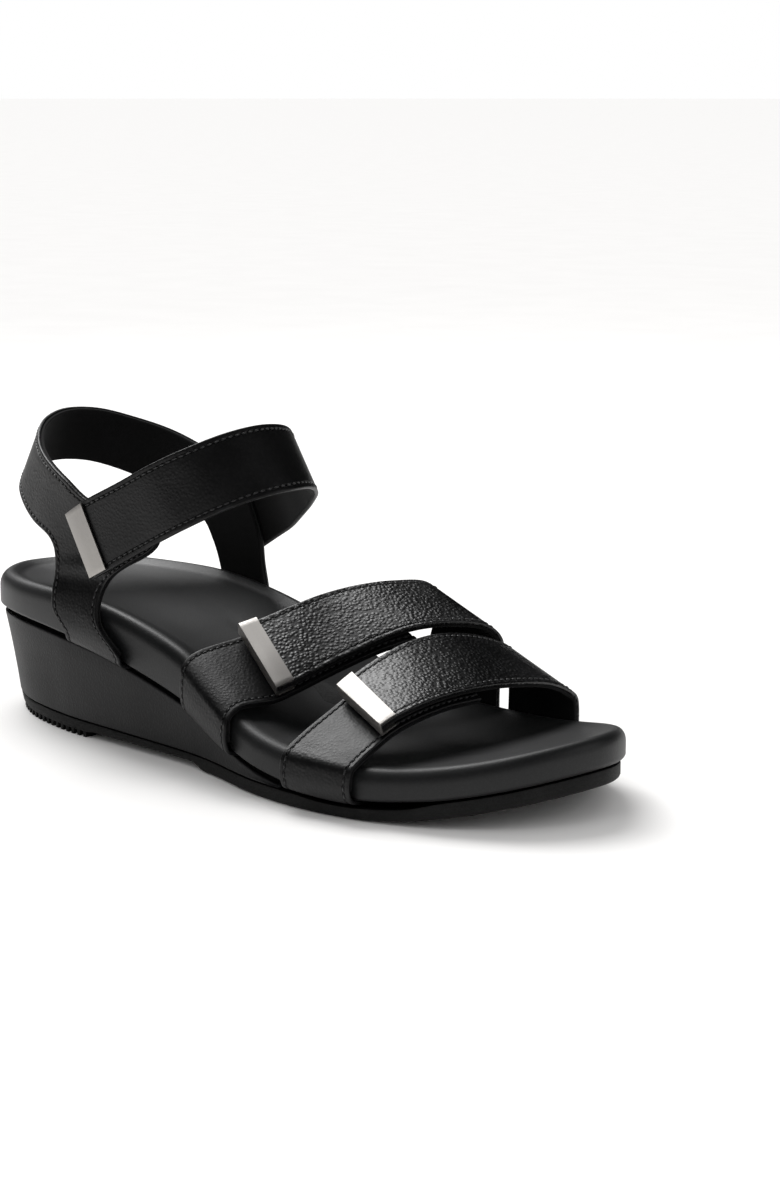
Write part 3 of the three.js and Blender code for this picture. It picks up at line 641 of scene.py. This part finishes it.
# Stitches along both edges of a surface, each a small bead of thread.
def stitchRows(surface, reach, inset, pitch, bead, depth=-0.1):
    bm = bmesh.new()
    long, wide, high = bead
    size = Matrix.Diagonal((pitch * long / 1000, wide / 1000, high / 1000, 1))
    for edge in (0, 1):
        k = np.linspace(reach[0], reach[1], 900)
        width = np.linalg.norm(surface(k, 1.0) - surface(k, 0.0), axis=1)
        v = inset / width if edge == 0 else 1 - inset / width
        line = surface(k, v, depth)
        run = np.concatenate([[0], np.cumsum(np.linalg.norm(np.diff(line, axis=0), axis=1))])
        count = int(run[-1] / pitch)
        spots = (np.arange(count) + 0.5) * run[-1] / count
        kAt = np.interp(spots, run, k)
        vAt = np.interp(spots, run, v)
        ahead = np.interp(spots + 0.4, run, k)
        vAhead = np.interp(spots + 0.4, run, v)
        middle = toFrame(surface(kAt, vAt, depth))
        forward = toFrame(surface(ahead, vAhead, depth)) - middle
        upward = toFrame(surface(kAt, vAt, depth + 1)) - middle
        for p, f, n in zip(middle, forward, upward):
            f, n = Vector(f).normalized(), Vector(n).normalized()
            side = n.cross(f).normalized()
            turn = Matrix((f, side, n)).transposed().to_4x4()
            bmesh.ops.create_uvsphere(bm, u_segments=6, v_segments=5, radius=1,
                                      matrix=Matrix.Translation(p) @ turn @ size)
    return bm


# A skin through rings that follow the outline, each (inset, shrink, height). An inset may be a
# function of x, and height is one of x, inset and shrink.
def ringSkin(rings, segments=220):
    rows = len(rings) - 1

    def place(s, t):
        onEdge, tangent = outlineAt(s)
        ringIndex = np.round(t * rows).astype(int)
        points = np.zeros((len(s), 3))
        for j, (inset, shrink, height) in enumerate(rings):
            here = ringIndex == j
            edgePoint, along2 = onEdge[here], tangent[here]
            depth = inset(edgePoint[:, 0]) if callable(inset) else inset
            x = (edgePoint[:, 0] - along2[:, 1] * depth) * shrink
            y = (edgePoint[:, 1] + along2[:, 0] * depth) * shrink
            points[here] = np.stack([x, y, height(x, depth, shrink)], axis=1)
        return points
    return bentGrid(segments, rows, place)


def levelRings(height, reach=16, steps=8):  # from the middle out to reach inside the outline
    return [(reach, i / steps, height) for i in range(steps + 1)]


# Bottom unit: footbed cover, outsole and the wrap round the wedge
bedLook = {"edgeWide": 3.6, "edgeHigh": 5.0, "underWide": 2.4, "underHigh": 1.5, "cover": 1.0,
           "turnUnder": 8.0, "toeClosing": 0.75, "settle": 0.42, "pastStrap": 0.835, "easeOver": 0.05}


def pastFrontStrap(x):
    return smooth((share(x) - bedLook["pastStrap"]) / bedLook["easeOver"])


def toeClosing(x):  # the cover settles into the groove, and further round the toe
    return bedLook["settle"] + (bedLook["toeClosing"] - bedLook["settle"]) * pastFrontStrap(x)


def bedBottomZ(x, *_):
    return jointZ(x) + seam - toeClosing(x)


def bedTopAt(depth):
    def height(x, inset, shrink):
        spread = shrink * (1 - inset / halfWidthAt(share(x)))
        return rimZ(x) - 0.2 - depth - cupAt(x) * (1 - spread * spread)
    return height


def footbedCover():
    cover, turned = bedLook["cover"], bedLook["turnUnder"]
    rings = levelRings(bedTopAt(0)) + [(12, 1, bedTopAt(0)), (9, 1, bedTopAt(0)), (6.5, 1, bedTopAt(0)),
                                       (4.9, 1, lambda x, *_: rimZ(x) - 0.24)]
    for i in range(1, 9):  # the rounded upper edge
        angle = math.pi / 2 * i / 8
        rings.append((bedLook["edgeWide"] * (1 - math.sin(angle)), 1,
                      lambda x, *_, a=angle: (
                          rimZ(x) - 0.25 - (bedLook["edgeHigh"] - 0.25) * (1 - math.cos(a)))))
    for i in range(6, -1, -1):  # down the side and under
        angle = math.pi / 2 * i / 6
        rings.append((bedLook["underWide"] * (1 - math.sin(angle)), 1,
                      lambda x, *_, a=angle: bedBottomZ(x) + bedLook["underHigh"] * (1 - math.cos(a))))
    rings += [(turned, 1, bedBottomZ), (turned, 1, lambda x, *_: bedBottomZ(x) + cover)]
    rings += [(3.7, 1, lambda x, *_: bedBottomZ(x) + cover), (1.9, 1, lambda x, *_: bedBottomZ(x) + 2.4),
              (cover, 1, lambda x, *_: rimZ(x) - 5.2), (1.8, 1, lambda x, *_: rimZ(x) - 3.0),
              (4.2, 1, lambda x, *_: rimZ(x) - 0.35 - cover)]
    rings += [(8, 1, bedTopAt(cover))] + levelRings(bedTopAt(cover))[::-1]
    return ringSkin(rings)


addPiece("footbed_cover_leather", footbedCover(), smoothCalfLeather, "footbed_leather",
         body="sole_unit", stands=["footbed_cover"], sharp=60)

soleLook = {"treadDeep": 1.5, "treadPitch": 3.1, "treadWide": 1.7, "waist": 2.0,
            "waistStart": 72, "waistEnd": 128, "toeRise": 1.1, "rimWide": 3.2}


def soleBottomZ(x, *_):  # bottom of the sole's body, above the tread ribs
    relief = soleLook["waist"] * (smooth((x - fromHeel(soleLook["waistStart"]) + 2) / 4)
                                  - smooth((x - fromHeel(soleLook["waistEnd"]) + 2) / 4))
    return groundZ(x) + np.maximum(soleLook["treadDeep"], relief)


def soleRimZ(x, *_):  # lower edge of the sole's side: a smooth rim at the forefoot, cut back at the heel
    forefoot = smooth((x - fromHeel(soleLook["waistEnd"]) + 2) / 4)
    return groundZ(x) + (1 - forefoot) * (soleBottomZ(x) - groundZ(x)) + 0.15 * forefoot


def heelTaper(x):  # the sole goes on with the slope of the wedge's back
    return 1 - smooth((x - fromHeel(20)) / 45)


def soleBody():
    def topZ(x, *_):
        return soleTopZ(x) + soleLook["toeRise"] * pastFrontStrap(x)

    def inside(distance, taper=0.0):
        return lambda x: soleInset(x) + distance + taper * heelTaper(x)
    rim = soleLook["rimWide"]
    rings = levelRings(soleBottomZ) + [
        (8, 1, soleBottomZ), (inside(rim + 0.9), 1, soleBottomZ), (inside(rim + 0.2), 1, soleBottomZ),
        (inside(rim), 1, soleRimZ), (inside(1.5, 0.9), 1, soleRimZ),
        (inside(0.8, 0.9), 1, lambda x, *_: soleRimZ(x) + 0.12),
        (inside(0.25, 0.9), 1, lambda x, *_: soleRimZ(x) + 0.45),
        (inside(0, 0.8), 1, lambda x, *_: soleRimZ(x) + 1.0),
        (inside(0, 0.3), 1, lambda x, *_: topZ(x) - 0.6),
        (inside(0.1, 0.3), 1, lambda x, *_: topZ(x) - 0.15), (inside(0.5), 1, topZ), (8, 1, topZ),
    ] + levelRings(topZ)[::-1]
    return ringSkin(rings)


def soleEdge(inwards):  # the sole's edge drawn in by some millimetres, as y over x for each side
    onEdge, tangent = outlineAt(np.linspace(0, 0.999, 600))
    depth = soleInset(onEdge[:, 0]) + heelTaper(onEdge[:, 0]) + inwards
    x = onEdge[:, 0] - tangent[:, 1] * depth
    y = onEdge[:, 1] + tangent[:, 0] * depth
    toe = int(np.argmax(x))
    halves = {-1: (x[:toe], y[:toe]), 1: (x[:toe:-1], y[:toe:-1])}
    return x.min(), lambda side, at: float(np.interp(at, *halves[side]))


def treadBars():  # transverse ribs under the heel and under the forefoot
    bm = bmesh.new()
    waistStart, waistEnd = fromHeel(soleLook["waistStart"]), fromHeel(soleLook["waistEnd"])
    for inwards, low, high in ((0.35, -half, waistStart - 1.4),
                               (soleLook["rimWide"] - 0.3, waistEnd + 1.6, half - 14)):
        back, edge = soleEdge(inwards)
        low = max(low, back + 2.2)
        count = int((high - low) / soleLook["treadPitch"])
        for x in np.linspace(low, high, count + 1):
            for vert in bmesh.ops.create_cube(bm, size=2.0)["verts"]:
                side, isTop = (1 if vert.co.y > 0 else -1), vert.co.z > 0
                xAt = x + soleLook["treadWide"] / 2 * (1 if isTop else 0.8) * vert.co.x
                vert.co = toFrame([
                    xAt, edge(side, xAt), float(soleBottomZ(xAt) + 0.6 if isTop else groundZ(xAt))])
    return bm


soleMesh = soleBody()
merged(soleMesh, treadBars())
addPiece("rubber_outsole", soleMesh, rubber, "rubber_sole", body="sole_unit", stands=["outsole"])

wrapLook = {"thick": 1.2, "lip": 1.4, "hollow": 0.2, "end": 172, "rise": 0.3}


def wedgeTopZ(x):
    return jointZ(x) - seam + wrapLook["rise"]


def wrapSurface(k, v, h=0.0):
    k, v, h = (np.array(a, float) for a in np.broadcast_arrays(np.atleast_1d(k), v, h))
    onEdge, tangent = outlineAt(k)
    low = soleInset(onEdge[:, 0])
    inset = low + (wrapLook["lip"] - low) * v + wrapLook["hollow"] * 4 * v * (1 - v) - h
    x = onEdge[:, 0] - tangent[:, 1] * inset
    y = onEdge[:, 1] + tangent[:, 0] * inset
    bottom = soleTopZ(x) + last["gap"]
    return np.stack([x, y, bottom + (wedgeTopZ(x) - bottom) * v], axis=1)


def outlineShareAt(side, x):  # where along the outline, from the heel, a side reaches x
    shares = np.linspace(0, 0.5, 2000) * -side
    points, _ = outlineAt(shares)
    return float(shares[np.argmax(points[:, 0] > x)])


wrapEnds = [outlineShareAt(1, fromHeel(wrapLook["end"])), outlineShareAt(-1, fromHeel(wrapLook["end"]))]
wrapSection = [[0, 0, -0.35], [0, 0.15, -0.1], [0, 0.5, 0], [0.25, 0, 0], [0.5, 0, 0], [0.75, 0, 0],
               [1, -0.8, 0], [1, -0.3, -0.08], [1, -0.05, -0.3], [1, 0, -0.6], [1, 0, -wrapLook["thick"]],
               [0.5, 0, -wrapLook["thick"]], [0, 0, -wrapLook["thick"]]]
addPiece("wedge_wrap_skin", runSection(wrapSurface, wrapEnds, 260, wrapSection), coatedSplitLeather,
         "wedge_wrap_leather", body="sole_unit", stands=["wedge_wrap"], sharp=60)
print("bottom unit made")


# Straps: leather, lining, stitches, metal tips and tapes
# channel is its distance from the edge, depth and spread; stitchBead is half a stitch's length as a
# share of the pitch, then half its width and height; tapeAcross is the tapes' edges, as shares of the width
strapLook = {"fold": 0.5, "channel": (1.9, 0.34, 0.5), "stitchInset": 1.9, "stitchPitch": 2.3,
             "stitchBead": (0.39, 0.32, 0.34), "tapeAcross": [0.14, 0.86]}


# The stretch where a strap bends at its joint: a band across the strap about the joint's line.
def bendBand(jointName, facing, lean, reach):
    joint = next(j for j in frame["record"]["behaviour"]["joints"] if j["name"] == jointName)
    pivot, axis = Vector(joint["pos_m"]), Vector(joint["axis"]).normalized()
    away = Vector(facing)
    away = (away - axis * away.dot(axis)).normalized()
    inwards = Vector(lean)
    inwards = inwards - axis * inwards.dot(axis)
    direction = (away + inwards).normalized()
    return {"from": joint["parent"], "to": joint["child"],
            "start": pivot - direction * reach / 1000, "end": pivot + direction * reach / 1000}


def leatherSection():
    return strapSection(0, -last["leather"], fold=strapLook["fold"], channel=strapLook["channel"])


def liningSection():  # glued to the leather's back and cut a little short
    return strapSection(-last["leather"], -strapThickness, inset=0.25, fold=0.3)


# A band of leather with its lining and its stitches: name_leather, name_lining_layer and name_stitches.
def sewnBand(name, surface, reach, liningReach, stitchReach, columns, where, stands, liningStands,
             hide=stretchedCowLeather):
    addPiece(name + "_leather", runSection(surface, reach, columns, leatherSection()), hide,
             "strap_leather", stands=stands, **where)
    addPiece(name + "_lining_layer", runSection(surface, liningReach, columns, liningSection()),
             napMicrofibre, "strap_lining", stands=liningStands, **where)
    stitches = stitchRows(surface, stitchReach, strapLook["stitchInset"], strapLook["stitchPitch"],
                          strapLook["stitchBead"])
    addPiece(name + "_stitches", stitches, thread, "strap_leather", **where)


# U-shaped clip pressed over a strap's end: its wall, the radius of its edges and how far it
# stands past the strap's sides
clipLook = {"wall": 0.6, "round": 0.22, "side": 0.3}


def clipSection(length, top, bottom):
    wall, r = clipLook["wall"], clipLook["round"]
    turn = [(r * (1 - math.sin(a)), r * (1 - math.cos(a)))
            for a in (0, math.pi / 6, math.pi / 3, math.pi / 2)]
    outer = [[length, top], [length * 0.5, top]]
    outer += [[a, top - b] for a, b in turn]
    outer += [[a, bottom + b] for a, b in reversed(turn)]
    outer += [[length * 0.5, bottom], [length, bottom]]
    inner = [[length, bottom + wall], [length * 0.5, bottom + wall], [wall, bottom + wall],
             [wall, top - wall], [length * 0.5, top - wall], [length, top - wall]]
    return outer + inner


def metalClip(surface, endK, intoK, lengthMm, top, bottom, side=clipLook["side"]):
    section = np.array(clipSection(lengthMm, top, bottom))
    section = np.vstack([section, section[:1]])
    rows = len(section) - 1

    def place(s, t):
        row = section[np.round(t * rows).astype(int)]
        k = endK + (intoK - endK) * row[:, 0] / lengthMm
        width = np.linalg.norm(surface(k, 1.0) - surface(k, 0.0), axis=1)
        v = s + (s - 0.5) * 2 * side / width
        return surface(k, v, row[:, 1])
    bm = bentGrid(14, rows, place)
    rims = [e for e in bm.edges if any(len(f.verts) > 4 for f in e.link_faces)]
    bmesh.ops.bevel(bm, geom=rims, offset=0.00012, offset_type="OFFSET", segments=2, profile=0.5,
                    affect="EDGES", material=-1)
    return bm


def tapeStrip(surface, reach, across, top, bottom):
    section = [[across[0], 0, top - 0.1], [across[0], 0.12, top]]
    section += [[across[0] + (across[1] - across[0]) * i / 4, 0, top] for i in (1, 2, 3)]
    section += [[across[1], -0.12, top], [across[1], 0, top - 0.1], [across[1], 0, bottom]]
    section += [[(across[0] + across[1]) / 2, 0, bottom], [across[0], 0, bottom]]
    return runSection(surface, reach, 40, section)


# Hooks, drawn as short flared studs in rows on the side of the tape that faces the loops.
def hookField(surface, reach, across, base, tall, pitch=1.7):
    bm = bmesh.new()
    middle = (across[0] + across[1]) / 2
    length = float(np.linalg.norm(surface(reach[0], middle) - surface(reach[1], middle)))
    width = float(np.linalg.norm(surface(reach[0], across[0]) - surface(reach[0], across[1])))
    rows, lines = int(length / pitch), int(width / pitch)
    for i in range(rows):
        for j in range(lines):
            k = reach[0] + (reach[1] - reach[0]) * (i + 0.5) / rows
            v = across[0] + (across[1] - across[0]) * (j + 0.5) / lines
            foot, head = (toFrame(surface(k, v, base + h))[0] for h in (0.02, tall))
            up = Vector(head - foot)
            turn = up.to_track_quat("Z", "Y").to_matrix().to_4x4()
            bmesh.ops.create_cone(bm, cap_ends=True, segments=5, radius1=0.00016, radius2=0.00028,
                                  depth=up.length, matrix=Matrix.Translation((foot + head) / 2) @ turn)
    return bm


def addTapes(name, surface, reach, across, body):
    under = strapThickness + last["gap"]
    tape, gap = last["tape"], last["gap"]
    hooks = tapeStrip(surface, reach, across, -under + gap, -under - tape * 0.45)
    merged(hooks, hookField(surface, reach, across, -under - tape * 0.45, -tape * 0.5))
    addPiece(name + "_hook_strip", hooks, hookTape, "hook_loop_tape", body=body, stands=[name + "_hook_tape"])
    loops = tapeStrip(surface, reach, across, -under - gap - tape * 1.05, -under - 2 * gap - 2 * tape)
    addPiece(name + "_loop_strip", loops, loopTape, "hook_loop_tape", body="sole_unit",
             stands=[name + "_loop_tape"])


def forefootStrap(name, spec):
    lateralX, medialX = spec["lateralX"], spec["medialX"]
    tucked = tuckedRibs(1, medialX)
    hinge = [beside(1, x, sideClearance + spec["hingeOut"][e], rimZ(x) + spec["hingeRise"][e])
             for e, x in enumerate(medialX)]
    crown = [[over(lateralX[e], medialX[e], *p) for e, p in enumerate(pair)] for pair in spec["crown"]]
    surface = ribSurface(tucked + [hinge] + crown, 1, tuckedStart)
    end = surface.end
    tipLength = float(np.linalg.norm(surface(end - 1, 0.5) - surface(end, 0.5)))
    wallK = (clipLook["wall"] + last["gap"]) / tipLength
    band = bendBand(name + "_strap_open", (0, 0, 1), (0, -0.25, 0), spec["bend"])
    strapEnd = end - wallK
    sewnBand(name + "_strap", surface, [0, strapEnd], [marginRibs, strapEnd], [2.3, end - 1.02], 190,
             {"across": band}, [name + "_strap", name + "_strap_root"],
             [name + "_strap_lining", name + "_strap_root_lining"], hide=pebbledCowLeather)
    top = last["gap"] + clipLook["wall"]
    addPiece(name + "_metal_tip", metalClip(surface, end, end - 1, tipLength, top, -strapThickness - top),
             nickel, "satin_nickel", body=name + "_strap_body", stands=[name + "_strap_tip"], sharp=30)
    addTapes(name, surface, [spec["tapeFrom"], end - 1 - wallK], strapLook["tapeAcross"],
             name + "_strap_body")

    tabRibs = tuckedRibs(-1, lateralX)
    tabRibs.append([beside(-1, x, sideClearance - 1, rimZ(x) - 0.5) for x in lateralX])
    tabRibs.append([over(x, x, *spec["shoulder"][e]) for e, x in enumerate(lateralX)])
    for k in range(end, spec["tabReach"] - 1, -1):
        tabRibs.append([list(surface(k, v, -tapeStack)[0]) for v in (0.0, 1.0)])
    tab = ribSurface(tabRibs, -1, tuckedStart)
    sewnBand(name + "_tab", tab, [0, tab.end], [marginRibs, tab.end], [2.3, tab.end - 0.1], 150,
             {"body": "sole_unit"}, [name + "_tab"], [name + "_tab_lining"])


frontX, instepX = fromHeel(176.6), fromHeel(126)
forefootStrap("front", {
    "lateralX": [frontX, frontX + 25], "medialX": [frontX + 7.4, frontX + 34.1],
    "hingeRise": [7, 5.5], "hingeOut": [0.3, -0.6], "shoulder": [[-0.93, 3.1], [-0.985, 1.5]],
    "crown": [
        [[1.05, 17.5], [1.0, 8]], [[0.89, 21.4], [0.8, 12.1]], [[0.6, 25], [0.5, 14.5]],
        [[0.3, 26.6], [0.15, 15.9]], [[0, 25.6], [-0.15, 15.9]], [[-0.24, 22.6], [-0.42, 14.8]],
        [[-0.45, 18.9], [-0.67, 12.6]], [[-0.58, 15.9], [-0.8, 10.5]],
    ],
    "tapeFrom": 9.3, "tabReach": 9, "bend": 5,
})
forefootStrap("instep", {
    "lateralX": [instepX, instepX + 25], "medialX": [instepX + 28, instepX + 54],
    "hingeRise": [12, 6.2], "hingeOut": [1.7, 0.3], "shoulder": [[-0.93, 2.6], [-0.93, 2.8]],
    "crown": [
        [[1.16, 26], [1.08, 19]], [[1.04, 31], [0.97, 24.2]], [[0.75, 31.3], [0.72, 26.4]],
        [[0.42, 29], [0.4, 26]], [[0.1, 24.9], [0.1, 22.6]], [[-0.16, 20.2], [-0.22, 17.2]],
        [[-0.42, 15.2], [-0.54, 10.9]], [[-0.57, 12.6], [-0.67, 8.6]],
    ],
    "tapeFrom": 9.3, "tabReach": 9, "bend": 5,
})
print("forefoot straps made")

# Ankle strap: from the metal tag on the outer side, over the instep, to its fold on the inner side
ankleFree = [
    [[73, -1.235, 27.4], [85, -1.25, 7.7]], [[81, -1.25, 31.9], [92.7, -1.25, 11.5]],
    [[96, -1.205, 39.2], [107.5, -1.165, 19.6]], [[108.5, -1.12, 45.9], [121, -1.055, 26.9]],
    [[119.5, -0.94, 51.7], [133.5, -0.81, 33.9]], [[125, -0.64, 55.4], [140, -0.53, 37.4]],
    [[127.5, -0.3, 57], [142, -0.25, 38.4]], [[125.5, 0.08, 56], [139.5, 0.06, 37.6]],
    [[119.5, 0.42, 52.8], [133, 0.375, 34.2]], [[109.5, 0.72, 47.4], [122, 0.655, 28.4]],
    [[99, 0.92, 41.9], [111, 0.86, 22.4]], [[90, 1.065, 36.9], [101, 1.02, 16.9]],
]
anchorY = 1.03 * last["heel"] / 2 + last["gap"] + strapThickness
ankleRibs = [[heelPoint(*p) for p in pair] for pair in ankleFree] + [
    [[fromHeel(80.5), anchorY + 0.4, seatZ + 31.9], [fromHeel(91), anchorY - 0.1, seatZ + 11.9]],
    [[fromHeel(71), anchorY + 0.1, seatZ + 26], [fromHeel(82), anchorY + 0.1, seatZ + 6.6]],
]
ankle = ribSurface(ankleRibs, -1)
tagWidth = float(np.linalg.norm(ankle(0, 0.5) - ankle(1, 0.5)))
tagWallK = (clipLook["wall"] + last["gap"]) / tagWidth
ankleBand = bendBand("ankle_strap_open", (10, 0, 5.9), (0, -6 / 11.6, 0), 4)
sewnBand("ankle_strap", ankle, [tagWallK, ankle.end], [tagWallK, ankle.end], [1.05, ankle.end - 0.05], 220,
         {"across": ankleBand}, ["ankle_strap", "ankle_strap_root"],
         ["ankle_strap_lining", "ankle_strap_root_lining"])
tagTop = last["gap"] + clipLook["wall"]
addPiece("ankle_metal_tag", metalClip(ankle, 0, 1, tagWidth, tagTop, -strapThickness - tagTop, side=-0.5),
         nickel, "satin_nickel", body="ankle_strap_body", stands=["ankle_strap_tag"], sharp=30)
armReach, armTop, armBottom = 2.1, 0.3, 0.92
addTapes("ankle", ankle, [1 + tagWallK, armReach], [armTop + 0.06, 0.84], "ankle_strap_body")


# Back quarter: one cut piece from under the footbed on the outer side, with an arm under the
# ankle strap, round the back of the heel and down the inner side
def armPoint(k, v):
    return list(ankle(k, float(v), -tapeStack)[0])


slingPairs = [
    [[46.5, -0.985, 20.9], [65.6, -1.08, 37.1]], [[36, -0.85, 25.5], [50, -0.92, 42.8]],
    [[27.6, -0.67, 29.4], [38.6, -0.685, 47.1]], [[20, -0.35, 33.2], [29, -0.34, 51]],
    [[17.5, 0.03, 34.9], [24.5, 0.06, 52.8]], [[20.5, 0.4, 33.9], [27, 0.44, 51.9]],
    [[27, 0.67, 30.9], [35, 0.73, 48.7]], [[38, 0.9, 25.7], [47, 0.95, 44.4]],
    [[50, 1.0, 19.9], [63, 1.03, 38.4]],
]
stemX = fromHeel(63.5)
quarterRibs = tuckedRibs(-1, [stemX + 6, stemX + 32.6], [stemX, stemX + 23]) + [
    [heelPoint(62.3, -1.17, 1), heelPoint(84.8, -1.18, 0.6)],
    [heelPoint(61.6, -1.12, 5), heelPoint(86.2, -1.12, 6)],
    [heelPoint(61.4, -1.1, 8.6), armPoint(1.2, 1)],
    [heelPoint(61, -1.09, 11.6), armPoint(armReach, armBottom)],
    [heelPoint(60, -1.08, 14.4), armPoint(armReach, armTop)],
    [heelPoint(57, -1.06, 17.2), heelPoint(79.5, -1.1, 30.9)],
] + [[heelPoint(*p) for p in pair] for pair in slingPairs] + [
    [heelPoint(60, 1.03, 14.9), heelPoint(76, 1.03, 32.4)],
    [heelPoint(64, 1.03, 9.4), heelPoint(86.5, 1.03, 13.4)],
    [heelPoint(66.5, 1.04, 3.6), heelPoint(88, 1.03, 3.6)],
] + tuckedRibs(1, [stemX + 3, stemX + 24])[::-1]
quarter = ribSurface(quarterRibs, -1, tuckedEnds)
sewnBand("back_quarter", quarter, [0, quarter.end], [marginRibs, quarter.end - marginRibs],
         [2.3, quarter.end - 2.3], 380, {"body": "sole_unit"}, ["back_quarter"], ["back_quarter_lining"])
print("ankle strap and quarter made")

# CAD nodes that stay, hidden inside
for nodeName, material in (("wedge_core", evaFoam), ("footbed_core", evaFoam),
                           ("insole_board", celluloseBoard), ("shank", springSteel)):
    for slotItem in frame["nodes"][nodeName].material_slots:
        slotItem.material = material

# Studio: a paper floor, a wide silk and three softboxes
studio = {"floor": 60.0, "worldStrength": 0.6, "backdrop": 1.0, "floorColour": "#f2f1f0", "silk": 1.9,
          "silkWide": 36, "silkFrom": (-0.55, 0.24, 0.8), "paperPatch": 60}
# Each softbox: its name, place, size in metres and power in watts
softboxes = (
    ("left_box", (-0.75, 0.15, 0.75), (0.35, 0.6), 3.2),
    ("tip_box", (0.1, -0.75, 1.05), (0.5, 0.3), 0.7),
    ("toe_box", (1.1, 0.35, 0.6), (0.3, 0.6), 1.6),
)


def paperFloor():
    bm = bmesh.new()
    bmesh.ops.create_circle(bm, cap_ends=True, segments=96, radius=studio["floor"])
    mesh = bpy.data.meshes.new("paper_floor")
    bm.to_mesh(mesh)
    bm.free()
    material, tree, surface, coordinates = newMaterial("matt_paper", {
        "Roughness": 0.9, "Specular IOR Level": 0.1})
    fibres = addNode(tree, "ShaderNodeTexNoise", {"Scale": perMetre(studio["paperPatch"]), "Detail": 3.0},
                     {"Vector": coordinates}).outputs["Fac"]
    tree.links.new(mixed(tree, fibres, studio["floorColour"], "#f8f7f6"), surface.inputs["Base Color"])
    mesh.materials.append(material)
    floor = bpy.data.objects.new("paper_floor", mesh)
    scene.collection.objects.link(floor)


def softbox(name, place, size, power, target=(0, 0, 0.04)):
    data = bpy.data.lights.new(name, "AREA")
    data.shape = "RECTANGLE"
    data.size, data.size_y = size
    data.energy = power
    light = bpy.data.objects.new(name, data)
    light.location = place
    light.rotation_euler = (Vector(place) - Vector(target)).to_track_quat("Z", "Y").to_euler()
    scene.collection.objects.link(light)


paperFloor()
sky = bpy.data.lights.new("overhead_silk", "SUN")  # a wide silk far above and behind, as even as daylight
sky.energy = studio["silk"]
sky.angle = math.radians(studio["silkWide"])
silk = bpy.data.objects.new("overhead_silk", sky)
silk.rotation_euler = Vector(studio["silkFrom"]).to_track_quat("Z", "Y").to_euler()
scene.collection.objects.link(silk)
for box in softboxes:
    softbox(*box)
world = bpy.data.worlds.new("studio_air")
scene.world = world
world.use_nodes = True
air = world.node_tree
rayKind = addNode(air, "ShaderNodeLightPath").outputs["Is Camera Ray"]
airStrength = ranged(air, rayKind, 0.0, 1.0, studio["worldStrength"], studio["backdrop"], "LINEAR")
air.nodes["Background"].inputs["Color"].default_value = toLinear("#ffffff")
air.links.new(airStrength, air.nodes["Background"].inputs["Strength"])
world.cycles_visibility.glossy = False  # the room is dark to a mirror: only lights and floor shine
scene.view_settings.view_transform = "Standard"
print("studio set")
